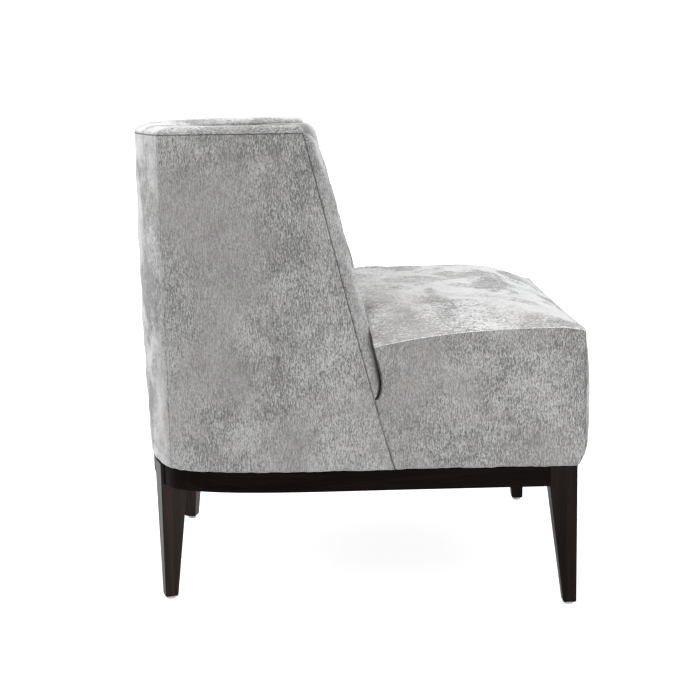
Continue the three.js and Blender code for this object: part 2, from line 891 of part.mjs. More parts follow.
function longWebbing(x) {
  const front = front_seam_y + seat_rail_depths[1] - webbing_lap;
  const rear_edge = insetPath(backWall(seat_frame_top), seat_rail_depths[1]);
  const rear = crossing(rear_edge.slice(side_steps, middle_column + 1), 'x', -x) + webbing_lap;
  const line = [
    [front, cross_webbing_bottom],
    [front + webbing_lap, cross_webbing_bottom],
    [front + webbing_lap + webbing_step, long_webbing_bottom],
    [rear - webbing_lap - webbing_step, long_webbing_bottom],
    [rear - webbing_lap, cross_webbing_bottom],
    [rear, cross_webbing_bottom],
  ];
  const edges = [x - half_strap, x + half_strap];
  const grid = (lift) => edges.map((edge) => (
    line.map(([y, height]) => new THREE.Vector3(-edge, y, height + lift))
  ));
  return sheet(grid(webbing_thickness), grid(0));
}

long_webbing_places.forEach((x, index) => {
  addPair(`seat_webbing_long_${index + 1}`, longWebbing(x), strap);
});

// Back webbing: upright straps on the front edges of the two plywood rails
function backWebbing(middle) {
  const front_push = frame_depth + back_pad_thickness + webbing_slack;
  return loft([lower_rail_height, top_rail_top].map((height) => {
    const lines = [front_push, front_push + webbing_thickness].map((push) => {
      const path = whole(barrelCurve(height, push));
      const rear_part = path.slice(side_steps, last_column - side_steps + 1);
      return [-half_strap, 0, half_strap].map((side) => {
        const x = middle + side;
        return new THREE.Vector3(x, crossing(rear_part, 'x', x), height);
      });
    });
    return [...lines[0], ...lines[1].reverse()];
  }));
}

addPair('back_webbing', backWebbing(-back_webbing_place), strap);
add('back_webbing_middle', backWebbing(0), strap);

// Seat: every point lies on a line from the rear edge to the front edge of the seat at its own
// height. Row 0 is the rear and 1 the front, column 0 the near side.
const seat_rows = [0, 0.04, 0.12, 0.27, 0.43, 0.59, 0.73, 0.84, 0.91, 0.96, 1];
const low_wall_shares = [0.28, 0.6];
const high_wall_shares = [0.3, 0.6, 0.85, 1];
const foam_wall_shares = [0.15, 0.35, 0.6, 0.82, 1];
const crown_heights = range(3).map((share) => wing_crown_foot + wing_crown_fade * share);
const seat_middle = crown_steps + middle_column;
const seat_columns = Array.from({ length: 2 * seat_middle + 1 }, (_, column) => column);
const seam_fall_power = 2.8;
const corner_drop_share = 0.12;
const front_edge_share = 0.3;

function seatSeamHeight(row) {
  const fall = seat_seam_fall * Math.pow(1 - row, seam_fall_power);
  const drop = seat_corner_drop * smooth((row - 1 + corner_drop_share) / corner_drop_share);
  return seat_seam_height - fall - drop;
}

function seatRear(height, inset, crevice) {
  const curve = barrelCurve(height, -crevice);
  const crown = crevice === seat_crevice ? wingCrown(height) : wing_crown;
  curve[0].y = wingSeamY(height) - crown - crevice;
  const side = new THREE.Vector2(inset - wallHalfWidth(height), curve[0].y);
  const front = range(crown_steps).slice(0, -1).map((share) => side.clone().lerp(curve[0], share));
  return whole([...front, ...curve]);
}

function seatFront(height, inset) {
  const half = wallHalfWidth(height) - inset;
  const crown_share = wing_thickness / half_width;
  const near = [
    ...range(crown_steps).slice(0, -1).map((share) => 1 - crown_share * share),
    ...range(middle_column).map((share) => (1 - crown_share) * (1 - share)),
  ];
  const rise = (height - hem_height) / (seat_seam_height - hem_height);
  return whole(near.map((across) => {
    const bow = front_bow * (1 - across * across) * rise * rise;
    return new THREE.Vector2(-half * across, front_seam_y + inset - bow);
  }));
}

function seatPoint(row, column, height, inset, crevice) {
  const rear = seatRear(height, inset, crevice)[column];
  const front = seatFront(height, inset)[column];
  return flat(rear.lerp(front, row), height);
}

// The height of the top cover, less an inset
function seatTop(row, column, inset) {
  const seam = seatSeamHeight(row);
  const place = seatPoint(row, column, seat_seam_height, 0, seat_crevice);
  const rear = seatPoint(0, column, seat_seam_height, 0, seat_crevice);
  const front = seatPoint(1, column, seat_seam_height, 0, seat_crevice);
  const side_distance = wallHalfWidth(seat_seam_height) - Math.abs(place.x);
  const rear_swell = quarterRound(place.distanceTo(rear), seat_rear_roll);
  const swell = quarterRound(place.distanceTo(front), seat_front_roll)
    * quarterRound(side_distance, seat_side_roll)
    * mix(rear_swell_share, 1, rear_swell);
  return mix(seam, seat_top_height, swell) - inset;
}

function seatTopGrid(inset, crevice) {
  return seat_rows.map((row) => seat_columns.map((column) => (
    seatPoint(row, column, seatTop(row, column, inset), inset, crevice)
  )));
}

// A point of a wall of the seat, which swells between its seams
function seatWallPoint(row, column, height, inset, crevice) {
  const level = (height - hem_height) / (seatTop(row, column, inset) - hem_height);
  const point = seatPoint(row, column, height, inset, crevice);
  const edge = 1 - Math.abs(point.x) / (wallHalfWidth(height) - inset);
  if (row === 1) {
    point.y -= front_bulge * pillow(level) * quarterRound(edge, front_edge_share);
  }
  if (column === 0 || column === seat_columns.length - 1) {
    point.x += Math.sign(point.x) * side_bulge * pillow(level) * pillow(row);
  }
  return point;
}

// A wall of the seat, with the heights of its rows given for each top height
function seatWall(places, inset, crevice, heights) {
  const lines = places.map(([row, column]) => (
    heights(seatTop(row, column, inset)).map((height) => (
      seatWallPoint(row, column, height, inset, crevice)
    ))
  ));
  return lines[0].map((_, index) => lines.map((line) => line[index]));
}

function coverHeights(top) {
  return [
    hem_height,
    ...low_wall_shares.map((share) => mix(hem_height, wing_crown_foot, share)),
    ...crown_heights,
    ...high_wall_shares.map((share) => mix(wing_crown_foot + wing_crown_fade, top, share)),
  ];
}

function foamHeights(top) {
  return [seat_deck, ...foam_wall_shares.map((share) => mix(seat_deck, top, share))];
}

const near_places = seat_rows.map((row) => [row, 0]);
const front_places = seat_columns.map((column) => [1, column]);
const rear_places = seat_columns.map((column) => [0, column]);

function seatFoam() {
  const inset = frame_depth + pad_slack;
  const wall = (places) => seatWall(places, inset, seat_foam_crevice, foamHeights);
  const far_places = near_places.map(([row]) => [row, seat_columns.length - 1]);
  const bottom = seat_rows.map((row) => seat_columns.map((column) => (
    seatWallPoint(row, column, seat_deck, inset, seat_foam_crevice)
  )));
  const middle = new THREE.Vector3(0, 0, mix(seat_deck, seat_seam_height, 0.5));
  return closedByGrids([
    seatTopGrid(inset, seat_foam_crevice),
    bottom,
    wall(near_places),
    wall(far_places),
    wall(front_places),
    wall(rear_places),
  ], middle);
}

add('seat_foam', seatFoam(), foam);

function cover(outer, inner) {
  return sheet(drawBack(outer), drawBack(inner));
}

add('seat_top_cover', cover(
  seatTopGrid(0, seat_crevice),
  seatTopGrid(cover_thickness, seat_crevice),
), fabric);
add('seat_front_cover', cover(
  seatWall(front_places, 0, seat_crevice, coverHeights),
  seatWall(front_places, cover_thickness, seat_crevice, coverHeights),
), fabric);
addPair('seat_side_cover', cover(
  seatWall(near_places, 0, seat_crevice, coverHeights),
  seatWall(near_places, cover_thickness, seat_crevice, coverHeights),
), fabric);

// Back pads: one barrel of foam over the rails and webbing, a roll of foam on each wing
const roll_foot = back_seam_height - top_roll;
const roll_angles = range(4).slice(1).map((share) => share * Math.PI / 2);

function backFoam() {
  const inset = frame_depth;
  const levels = [
    [seat_deck, 0],
    [wing_crown_foot + wing_crown_fade, 0],
    ...[0, ...roll_angles].map((roll) => [
      roll_foot + (top_roll - inset) * Math.sin(roll),
      roll,
    ]),
  ];
  return loft(levels.map(([height, roll]) => {
    const retreat = top_roll * (1 - Math.cos(roll));
    const front = whole(barrelCurve(height, retreat + inset * Math.cos(roll)));
    const rear = whole(barrelCurve(height, inset + back_pad_thickness)).reverse();
    const start = wingSeamY(height) + frame_depth;
    return [...front, ...rear].map(({ x, y }) => (
      new THREE.Vector3(x, Math.max(y, start), height)
    ));
  }));
}

add('inside_back_foam', backFoam(), foam);

// Pairs of height and roll angle where the inside-back cover is drawn
const inside_levels = [
  [seat_deck, 0],
  ...crown_heights.slice(1).map((height) => [height, 0]),
  [roll_foot, 0],
  ...roll_angles.map((roll) => [roll_foot + top_roll * Math.sin(roll), roll]),
];

function insideLine(level, roll, inset) {
  const height = level - inset * Math.sin(roll);
  const depth = inset * Math.cos(roll);
  const outer = barrel(height, roll);
  const path = insetPath(outer, -depth);
  path[0].set(outer[0].x + depth, outer[0].y);
  path[path.length - 1].set(-path[0].x, path[0].y);
  return path.map((point) => flat(point, height));
}

function wingPad() {
  return loft(inside_levels.slice(2, -2).map(([level, roll]) => {
    const inset = frame_depth + pad_slack;
    const arc = insideLine(level, roll, inset).slice(0, crown_steps + 1);
    const height = arc[0].z;
    const back = wingSeamY(height) + cover_thickness - gap;
    const left = inset - wallHalfWidth(height);
    const right = left + wing_thickness - top_roll * (1 - Math.cos(roll)) - 2 * inset;
    const front = arc.map(({ x, y }) => (
      new THREE.Vector3(Math.min(Math.max(x, left), right), Math.min(y, back - pad_slack), height)
    ));
    return [...front, new THREE.Vector3(right, back, height), new THREE.Vector3(left, back, height)];
  }));
}

addPair('wing_pad', wingPad(), foam);

// Back covers
const back_heights = [
  hem_height,
  seat_frame_top,
  lower_rail_height,
  lower_rail_height + plywood_thickness,
  mix(lower_rail_height, top_rail_bottom, 0.5),
  top_rail_bottom,
  back_seam_height,
];

function backGrid(first, last, inset, bulge) {
  return back_heights.map((level, row) => {
    const height = row === back_heights.length - 1 ? level - inset : level;
    const path = insetPath(backWall(height), inset).slice(first, last + 1);
    return path.map((point, column) => {
      const swell = pillow(wallShare(level)) * pillow(column / (path.length - 1));
      return new THREE.Vector3(point.x, point.y + bulge * swell, height);
    });
  });
}

addPair('back_side_cover', cover(
  backGrid(0, side_steps, 0, 0),
  backGrid(0, side_steps, cover_thickness, 0),
), fabric);
add('outside_back_cover', cover(
  backGrid(side_steps, last_column - side_steps, 0, back_bulge),
  backGrid(side_steps, last_column - side_steps, cover_thickness, back_bulge),
), fabric);

function insideGrid(inset) {
  return inside_levels.map(([level, roll]) => insideLine(level, roll, inset));
}

add('inside_back_cover', cover(insideGrid(0), insideGrid(cover_thickness)), fabric);

function bandGrid(inset) {
  const height = back_seam_height - inset;
  const outer = insetPath(backWall(height), inset);
  const inner = whole(barrelCurve(height, top_roll));
  outer[0].set(outer[0].x, inner[0].y);
  outer[last_column].set(-outer[0].x, inner[0].y);
  return range(crown_steps).map((share) => outer.map((point, column) => {
    const end = column === 0 || column === last_column;
    const dome = end ? 0 : top_band_crown * pillow(share);
    return flat(point.clone().lerp(inner[column], share), height + dome);
  }));
}

add('top_band_cover', cover(bandGrid(0), bandGrid(cover_thickness)), fabric);

export default chair;
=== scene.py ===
import math

import bmesh
import bpy
import numpy as np
from mathutils import Matrix, Vector
from mathutils.bvhtree import BVHTree


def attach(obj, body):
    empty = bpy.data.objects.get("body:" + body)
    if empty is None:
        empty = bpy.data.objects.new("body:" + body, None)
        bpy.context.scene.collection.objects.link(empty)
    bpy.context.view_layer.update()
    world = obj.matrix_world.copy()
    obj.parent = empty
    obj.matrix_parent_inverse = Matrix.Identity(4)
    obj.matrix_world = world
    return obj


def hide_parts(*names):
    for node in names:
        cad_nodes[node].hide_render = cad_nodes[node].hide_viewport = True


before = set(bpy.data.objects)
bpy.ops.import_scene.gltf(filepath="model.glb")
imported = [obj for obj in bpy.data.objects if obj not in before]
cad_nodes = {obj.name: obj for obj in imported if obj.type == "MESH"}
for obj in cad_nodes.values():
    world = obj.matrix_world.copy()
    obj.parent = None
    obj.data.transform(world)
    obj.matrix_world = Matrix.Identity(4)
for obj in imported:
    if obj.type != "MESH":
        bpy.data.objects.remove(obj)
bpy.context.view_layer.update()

# Legs and base rails: solid beech, planed and tapered, stained espresso and sprayed with a satin
# lacquer. The rails are glued between the legs, with a bolted block behind each corner.

mm = 0.001
weld_distance = 0.02 * mm
stained_edge = 0.9 * mm
stained_relief = 0.15 * mm
sharp_angle = math.radians(35)


def add_node(tree, kind, **settings):
    made = tree.nodes.new(kind)
    for key, value in settings.items():
        setattr(made, key, value)
    return made


def fill_sockets(made, values):
    for key, value in values.items():
        made.inputs[key].default_value = value


def new_effect(name, inputs, outputs):
    """A node group. An input of four numbers is a colour, one of three numbers a vector."""
    tree = bpy.data.node_groups.new(name, "ShaderNodeTree")
    kinds = {1: "NodeSocketFloat", 3: "NodeSocketVector", 4: "NodeSocketColor"}
    for socket, value in inputs.items():
        kind = kinds[len(value) if isinstance(value, tuple) else 1]
        made = tree.interface.new_socket(name=socket, in_out="INPUT", socket_type=kind)
        made.default_value = value
    for socket in outputs:
        kind = kinds[4 if socket == "Color" else 1]
        tree.interface.new_socket(name=socket, in_out="OUTPUT", socket_type=kind)
    return tree, add_node(tree, "NodeGroupInput"), add_node(tree, "NodeGroupOutput")


def new_finish(name, **plain):
    material = bpy.data.materials.new(name)
    material.use_nodes = True
    tree = material.node_tree
    shader = tree.nodes["Principled BSDF"]
    fill_sockets(shader, plain)
    return material, tree, shader


def place_effect(tree, effect, **values):
    made = add_node(tree, "ShaderNodeGroup", node_tree=effect)
    fill_sockets(made, values)
    return made


def raise_surface(tree, shader, height, relief):
    bump = add_node(tree, "ShaderNodeBump")
    bump.inputs["Distance"].default_value = relief
    tree.links.new(height, bump.inputs["Height"])
    tree.links.new(bump.outputs["Normal"], shader.inputs["Normal"])


def noise_of(tree, vector, scale, detail, roughness, distortion=0.0):
    noise = add_node(tree, "ShaderNodeTexNoise")
    fill_sockets(noise, {
        "Scale": scale, "Detail": detail, "Roughness": roughness, "Distortion": distortion,
    })
    tree.links.new(vector, noise.inputs["Vector"])
    return noise.outputs["Fac"]


def spread(tree, value, low, high, to_low=0.0, to_high=1.0):
    ranged = add_node(tree, "ShaderNodeMapRange", interpolation_type="SMOOTHSTEP")
    fill_sockets(ranged, {
        "From Min": low, "From Max": high, "To Min": to_low, "To Max": to_high,
    })
    tree.links.new(value, ranged.inputs["Value"])
    return ranged.outputs["Result"]


def blend_colours(tree, share, first, second):
    mixed = add_node(tree, "ShaderNodeMix", data_type="RGBA")
    for value, socket in ((share, 0), (first, 6), (second, 7)):
        if isinstance(value, bpy.types.NodeSocket):
            tree.links.new(value, mixed.inputs[socket])
        else:
            mixed.inputs[socket].default_value = value
    return mixed.outputs[2]


def add_values(tree, first, second, share=1.0):
    sum_node = add_node(tree, "ShaderNodeMath", operation="MULTIPLY_ADD")
    tree.links.new(second, sum_node.inputs[0])
    sum_node.inputs[1].default_value = share
    tree.links.new(first, sum_node.inputs[2])
    return sum_node.outputs[0]


def own_place(tree):
    """A point of the surface in the piece's own frame."""
    return add_node(tree, "ShaderNodeTexCoord").outputs["Object"]


def stretched_place(tree, group_in):
    mapping = add_node(tree, "ShaderNodeMapping")
    tree.links.new(own_place(tree), mapping.inputs["Vector"])
    tree.links.new(group_in.outputs["Stretch"], mapping.inputs["Scale"])
    return mapping.outputs["Vector"]


grain, grain_in, grain_out = new_effect(
    "wood grain",
    {
        "Dark": (0.01, 0.007, 0.006, 1), "Light": (0.03, 0.02, 0.016, 1), "Stretch": (1, 1, 1),
        "Smooth": 0.3, "Rough": 0.5,
    },
    ("Color", "Roughness", "Height"),
)
place = stretched_place(grain, grain_in)
figure = noise_of(grain, place, 55, 4, 0.6, 1.2)
pores = noise_of(grain, place, 420, 2, 0.7)
mixed_grain = add_values(grain, figure, pores, 0.35)
grain.links.new(
    blend_colours(
        grain,
        spread(grain, mixed_grain, 0.45, 0.95),
        grain_in.outputs["Dark"],
        grain_in.outputs["Light"],
    ),
    grain_out.inputs["Color"],
)
sheen_share = spread(grain, figure, 0.3, 0.7)
gloss = add_node(grain, "ShaderNodeMix", data_type="FLOAT")
grain.links.new(sheen_share, gloss.inputs[0])
grain.links.new(grain_in.outputs["Smooth"], gloss.inputs[2])
grain.links.new(grain_in.outputs["Rough"], gloss.inputs[3])
grain.links.new(gloss.outputs[0], grain_out.inputs["Roughness"])
grain.links.new(mixed_grain, grain_out.inputs["Height"])


def effect_finish(name, effect, values, relief, **plain):
    """A finish whose colour, roughness and surface come from one effect."""
    material, tree, shader = new_finish(name, **plain)
    made = place_effect(tree, effect, **values)
    tree.links.new(made.outputs["Color"], shader.inputs["Base Color"])
    tree.links.new(made.outputs["Roughness"], shader.inputs["Roughness"])
    raise_surface(tree, shader, made.outputs["Height"], relief)
    return material


def wood(dark, light, stretch, smooth, rough):
    return {
        "Dark": (*dark, 1), "Light": (*light, 1), "Stretch": stretch, "Smooth": smooth,
        "Rough": rough,
    }


def espresso(name, stretch, shade, gloss):
    # shade scales the stain's lightness, as painted light and shade on the piece.
    dark = (0.0045 * shade, 0.0028 * shade, 0.0023 * shade)
    light = (0.0165 * shade, 0.0095 * shade, 0.0075 * shade)
    return effect_finish(
        name, grain, wood(dark, light, stretch, 0.36, 0.5), stained_relief, **{
            "Specular IOR Level": gloss, "Coat Weight": gloss / 4, "Coat Roughness": 0.35,
        },
    )


def ease_edges(node, width):
    """Softens the sharp edges of a CAD piece without touching its mesh."""
    weld = node.modifiers.new("joined", "WELD")
    weld.merge_threshold = weld_distance
    bevel = node.modifiers.new("eased", "BEVEL")
    bevel.width = width
    bevel.segments = 3
    bevel.limit_method = "ANGLE"
    bevel.angle_limit = sharp_angle
    bevel.use_clamp_overlap = True
    bevel.harden_normals = True
    for polygon in node.data.polygons:
        polygon.use_smooth = True


def paint(names, material, edge):
    """Gives CAD pieces their finish and softens their edges."""
    for name in names:
        node = cad_nodes[name]
        node.data.materials.clear()
        node.data.materials.append(material)
        if "custom_normal" in node.data.attributes:
            node.data.attributes.remove(node.data.attributes["custom_normal"])
        ease_edges(node, edge)


def both(*names):
    return [f"{name}_{side}" for name in names for side in ("right", "left")]


# One stain on all of them. The rails are painted darker as shade under the covers' overhang, the
# front legs darker and the rear legs lighter for how the light falls on them.
espresso_finishes = (
    (both("front_leg"), espresso("espresso front leg", (1, 1, 0.06), 0.65, 0.035)),
    (both("rear_leg"), espresso("espresso rear leg", (1, 1, 0.06), 1.6, 0.08)),
    (both("base_side_rail"), espresso("espresso lengthwise", (1, 0.06, 1), 0.5, 0.015)),
    (
        ["base_front_rail", "base_rear_rail"],
        espresso("espresso crosswise", (0.06, 1, 1), 0.5, 0.015),
    ),
)
for names, finish in espresso_finishes:
    paint(names, finish, stained_edge)

# Glides: four round nail-on feet of pale plastic, moulded over a steel nail and tapped into the
# end of each leg.

glide_edge = 0.4 * mm
glide_relief = 0.1 * mm


def speckled_finish(name, scale, detail, shades, shade_range, rough, relief, **plain):
    """A finish whose two shades, gloss and surface follow one fine noise."""
    material, tree, shader = new_finish(name, **plain)
    specks = noise_of(tree, own_place(tree), scale, detail, 0.6)
    tree.links.new(
        blend_colours(tree, spread(tree, specks, *shade_range), *shades),
        shader.inputs["Base Color"],
    )
    tree.links.new(spread(tree, specks, 0.3, 0.7, *rough), shader.inputs["Roughness"])
    raise_surface(tree, shader, specks, relief)
    return material


pale_plastic = speckled_finish(
    "pale glide plastic", 260, 4, ((0.62, 0.62, 0.6, 1), (0.42, 0.41, 0.39, 1)),
    (0.4, 0.7), (0.35, 0.6), glide_relief,
)
paint(both("front_glide", "rear_glide"), pale_plastic, glide_edge)

# Corner blocks, leg bolts and seat screws: raw beech triangles glued behind the rails, each with
# a zinc-plated bolt through a counterbore into its leg, and screws up into the seat frame.

block_edge = 0.8 * mm
fastener_edge = 0.4 * mm
raw_relief = 0.3 * mm
zinc_relief = 0.05 * mm
raw_beech = effect_finish(
    "raw beech", grain, wood((0.42, 0.27, 0.15), (0.62, 0.46, 0.29), (0.1, 1, 1), 0.6, 0.75),
    raw_relief,
)
zinc = speckled_finish(
    "zinc-plated steel", 500, 3, ((0.55, 0.55, 0.53, 1), (0.72, 0.71, 0.66, 1)),
    (0.35, 0.65), (0.25, 0.45), zinc_relief, Metallic=1.0,
)
paint(both("front_corner_block", "rear_corner_block"), raw_beech, block_edge)
fasteners = both("front_leg_bolt", "rear_leg_bolt", "seat_screw_1", "seat_screw_2")
paint(fasteners, zinc, fastener_edge)

# Seat frame and back frame: sawn beech rails and posts, glued and screwed, with two horseshoe
# rails of birch plywood round the back. All of it is hidden under the covers.

sawn_edge = 1 * mm
plywood_edge = 0.6 * mm
plywood_relief = 0.2 * mm
birch_plywood = effect_finish(
    "birch plywood", grain, wood((0.5, 0.36, 0.21), (0.7, 0.56, 0.38), (1, 1, 6), 0.55, 0.7),
    plywood_relief,
)
posts = both("wing_post", "rear_post") + ["rear_post_middle"]
paint(posts + ["seat_frame_rear_rail"], raw_beech, sawn_edge)
paint(["back_lower_rail", "back_top_rail"], birch_plywood, plywood_edge)

# Webbing: 60 mm woven elastic straps, stretched over the seat rails and up the inside of the back
# and stapled at their ends. Each is a finer copy of its CAD piece, with slight waves.

weave, weave_in, weave_out = new_effect(
    "woven threads",
    {"Dark": (0.01, 0.01, 0.01, 1), "Light": (0.05, 0.05, 0.05, 1), "Threads": 900.0},
    ("Color", "Roughness", "Height"),
)
place = own_place(weave)
threads = []
for direction in ("X", "Y"):
    wave = add_node(weave, "ShaderNodeTexWave", bands_direction=direction)
    fill_sockets(wave, {"Distortion": 1.2, "Detail": 2.0, "Detail Scale": 1.5})
    weave.links.new(place, wave.inputs["Vector"])
    weave.links.new(weave_in.outputs["Threads"], wave.inputs["Scale"])
    threads.append(wave.outputs["Fac"])
crossed = add_values(weave, threads[0], threads[1])
weave.links.new(
    blend_colours(
        weave,
        spread(weave, crossed, 0.3, 1.7),
        weave_in.outputs["Dark"],
        weave_in.outputs["Light"],
    ),
    weave_out.inputs["Color"],
)
weave.links.new(spread(weave, crossed, 0.0, 2.0, 0.95, 0.75), weave_out.inputs["Roughness"])
weave.links.new(crossed, weave_out.inputs["Height"])

strap_wave = 0.05 * mm
slack_length = 60 * mm
strap_relief = 0.4 * mm
strap_threads = {
    "Dark": (0.012, 0.012, 0.012, 1), "Light": (0.07, 0.068, 0.065, 1), "Threads": 240,
}
strap_cloth = effect_finish("elastic strap", weave, strap_threads, strap_relief)
strap_names = both("seat_webbing_long_1", "seat_webbing_long_2", "back_webbing") + [
    "seat_webbing_across_1", "seat_webbing_across_2", "seat_webbing_across_3",
    "back_webbing_middle",
]


def ripple(across, along, length, seed, waves=14):
    """Smooth irregular waves of about one length, the same on each run."""
    draw = np.random.default_rng(seed)
    total = 0
    for _ in range(waves):
        turn, phase = draw.uniform(0, 2 * np.pi, 2)
        pitch = length * draw.uniform(0.7, 1.5)
        run = across * np.cos(turn) + along * np.sin(turn)
        total = total + np.sin(run * 2 * np.pi / pitch + phase)
    return total / math.sqrt(waves / 2)


def soft_copy(name, node, material, cuts, wave, seed):
    """A finer copy of a CAD piece whose faces lie in slight waves."""
    mesh = cad_nodes[node].data.copy()
    mesh.name = name
    made = bpy.data.objects.new(name, mesh)
    bpy.context.scene.collection.objects.link(made)
    shape = bmesh.new()
    shape.from_mesh(mesh)
    bmesh.ops.remove_doubles(shape, verts=shape.verts, dist=weld_distance)
    bmesh.ops.subdivide_edges(shape, edges=shape.edges, cuts=cuts, use_grid_fill=True)
    shape.normal_update()
    for point in shape.verts:
        place = point.co
        swell = ripple(place.x + place.z, place.y + 0.7 * place.z, slack_length, seed, 5)
        point.co = place + point.normal * (swell * wave)
    shape.to_mesh(mesh)
    shape.free()
    if "custom_normal" in mesh.attributes:
        mesh.attributes.remove(mesh.attributes["custom_normal"])
    mesh.materials.clear()
    mesh.materials.append(material)
    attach(made, "root")
    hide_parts(node)
    return made


for seed, name in enumerate(strap_names):
    if name.startswith("back"):
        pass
    elif "long" in name:
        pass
    else:
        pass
    strap = soft_copy(f"strap_{name}", name, strap_cloth, 1, strap_wave, 320 + seed)

# Outline of the upholstered body: the back leans out as it rises, from a straight hem to the top
# seam. Every cover follows these lines, because the foam below is cut to them.

hem_height = 233 * mm
top_seam_height = 764 * mm
half_hem = 320 * mm
side_lean = 25 * mm
front_seam_y = -354 * mm
wing_foot_y = -52 * mm
wing_rake = 136 * mm
hem_back_y = 361.3 * mm
back_lean = 9.7 * mm
wing_thickness = 78 * mm
barrel_depth = 191.6 * mm
barrel_power = 2.4
crown_foot = 346 * mm
crown_fade = 36 * mm
wing_crown = 18.5 * mm
seam_bow = 3.5 * mm
narrow_end = 4 * mm
narrow_run = 70 * mm
corner_setback = 54 * mm
corner_setback_top = 59 * mm


def mix(start, end, share):
    return start + (end - start) * share


def smooth(share):
    """Rises from 0 to 1 with level ends."""
    held = np.clip(share, 0, 1)
    return held * held * (3 - 2 * held)


def quarter_round(distance, reach):
    """Rises from 0 to 1 over reach, like a quarter of a circle."""
    left = 1 - np.clip(distance / reach, 0, 1)
    return np.sqrt(1 - left * left)


def wall_share(height):
    return (height - hem_height) / (top_seam_height - hem_height)


def wall_half(height):
    return half_hem - side_lean * wall_share(height)


def seam_setback(height):
    """The wing seam bows back a little below the middle, where the pad before it is widest."""
    rise = np.clip(wall_share(height), 0, 1)
    return seam_bow * (1 - rise) * (0.45 + 4.9 * rise - 4.5 * rise**2)


def wing_y(height):
    return wing_foot_y + wing_rake * wall_share(height) + seam_setback(height)


def back_y(height):
    return hem_back_y + back_lean * wall_share(height)


def corner_x(height):
    return -wall_half(height) * mix(0.8607, 0.8859, wall_share(height))


def corner_y(height):
    return back_y(height) - mix(corner_setback, corner_setback_top, wall_share(height))


def bezier(share, first, second, third, fourth):
    left = 1 - share
    return (
        left**3 * first
        + 3 * left**2 * share * second
        + 3 * left * share**2 * third
        + share**3 * fourth
    )


def side_line(height, share):
    """The side of the back on the right, from the wing seam at 0 to the rear corner seam at 1."""
    rise = wall_share(height)
    half = wall_half(height)
    front = wing_y(height)
    rear = corner_y(height)
    outs = mix(0.009, -0.003, rise), mix(0.022, -0.044, rise)
    backs = mix(0.458, 0.34, rise), mix(0.847, 0.705, rise)
    across = bezier(
        share, -half, -half * (1 + outs[0]), -half * (1 + outs[1]), corner_x(height)
    )
    along = bezier(
        share, front, mix(front, rear, backs[0]), mix(front, rear, backs[1]), rear
    )
    return across, along


def rear_line(height, place):
    """The bowed back, from the right corner seam at -1 to the left one at 1."""
    rise = wall_share(height)
    share = 1 - np.abs(place)
    corner = corner_x(height)
    rear = back_y(height)
    setback = rear - corner_y(height)
    pulls = mix(0.9, 0.85, rise), mix(0.54, 0.49, rise)
    across = bezier(share, corner, corner * pulls[0], corner * pulls[1], 0)
    along = bezier(share, rear - setback, rear - setback * mix(0.48, 0.56, rise), rear, rear)
    return np.where(place > 0, -across, across), along


def barrel_line(height, angle, push):
    """The inside of the barrel, from the wing at angle 0 to the middle of the back at a quarter
    turn."""
    across = wall_half(height) - wing_thickness + push
    power = 2 / barrel_power
    return (
        -across * np.clip(np.cos(angle), 0, 1) ** power,
        wing_y(height) + (barrel_depth + push) * np.clip(np.sin(angle), 0, 1) ** power,
    )


def crown_of_wing(height):
    """The pad on the wing's front starts with a round end, tucked in beside the seat."""
    round_end = quarter_round(np.maximum(height - crown_foot, 0), crown_fade)
    narrowed = narrow_end * smooth((crown_foot + narrow_run - height) / narrow_run)
    return (wing_crown + seam_setback(height) - narrowed) * round_end


# Sewn covers: each panel is cut from one piece of chenille, 3 mm thick with its wadding. Its edges
# roll into the seams, the cloth puckers a little beside the stitches, and it lies in soft waves
# where it is only held at its edges.

cover_thickness = 3 * mm
seam_roll = 2.4 * mm
finest_step = 0.6 * mm
coarsest_step = 4.5 * mm
plain_wave = 0.5 * mm
plain_pucker = 0.3 * mm
hem_unevenness = 0.4 * mm
hem_reach = 14 * mm
hem_wave_length = 48 * mm
gather_length = 17 * mm
pucker_reach = 9 * mm
stitch_reach = 1.2 * mm
wave_reach = 22 * mm
long_wave = 95 * mm
short_wave = 34 * mm


def spaced(length, coarse=coarsest_step, start=True, end=True):
    """Shares of a length that lie close together beside its seams."""
    steps = [finest_step]
    while steps[-1] < coarse:
        steps.append(min(steps[-1] * 1.35, coarse))
    lead = np.concatenate([[0], np.cumsum(steps)])
    lead = lead[lead < length * 0.42]
    low = lead if start else lead[:1]
    high = length - (lead[::-1] if end else lead[:1])
    count = max(round((high[0] - low[-1]) / coarse), 1)
    middle = np.linspace(low[-1], high[0], count + 1)[1:-1]
    return np.concatenate([low, middle, high]) / length


def as_grid(across, along, height):
    return np.stack(np.broadcast_arrays(across, along, height), axis=-1)


def normals_of(grid):
    """The direction straight out of the grid at each of its points."""
    down = np.gradient(grid, axis=0)
    right = np.gradient(grid, axis=1)
    crossed = np.cross(down, right)
    size = np.linalg.norm(crossed, axis=-1, keepdims=True)
    return crossed / np.maximum(size, 1e-12)


def edge_distances(grid):
    """How far each point is from the first row, the last row, the first column and the last."""
    rows = np.linalg.norm(np.diff(grid, axis=0), axis=-1)
    columns = np.linalg.norm(np.diff(grid, axis=1), axis=-1)
    down = np.pad(np.cumsum(rows, axis=0), ((1, 0), (0, 0)))
    right = np.pad(np.cumsum(columns, axis=1), ((0, 0), (1, 0)))
    return down, down[-1:] - down, right, right[:, -1:] - right


def rolled_edge(distance, radius):
    """How far a rounded edge has drawn in at a distance from it."""
    left = 1 - np.clip(distance / radius, 0, 1)
    return radius * (1 - np.sqrt(1 - left * left))


def hem_waves(grid, seed):
    """Lets the last row, the hem, lie a little unevenly where it is pulled under and stapled."""
    _, from_hem, right, _ = edge_distances(grid)
    uneven = ripple(right, 0, hem_wave_length, seed + 7)
    uneven = uneven + 0.5 * ripple(right, 0, gather_length, seed + 8)
    shift = uneven * np.exp(-from_hem / hem_reach) * hem_unevenness
    return grid + shift[..., None] * np.array([0, 0, 1])


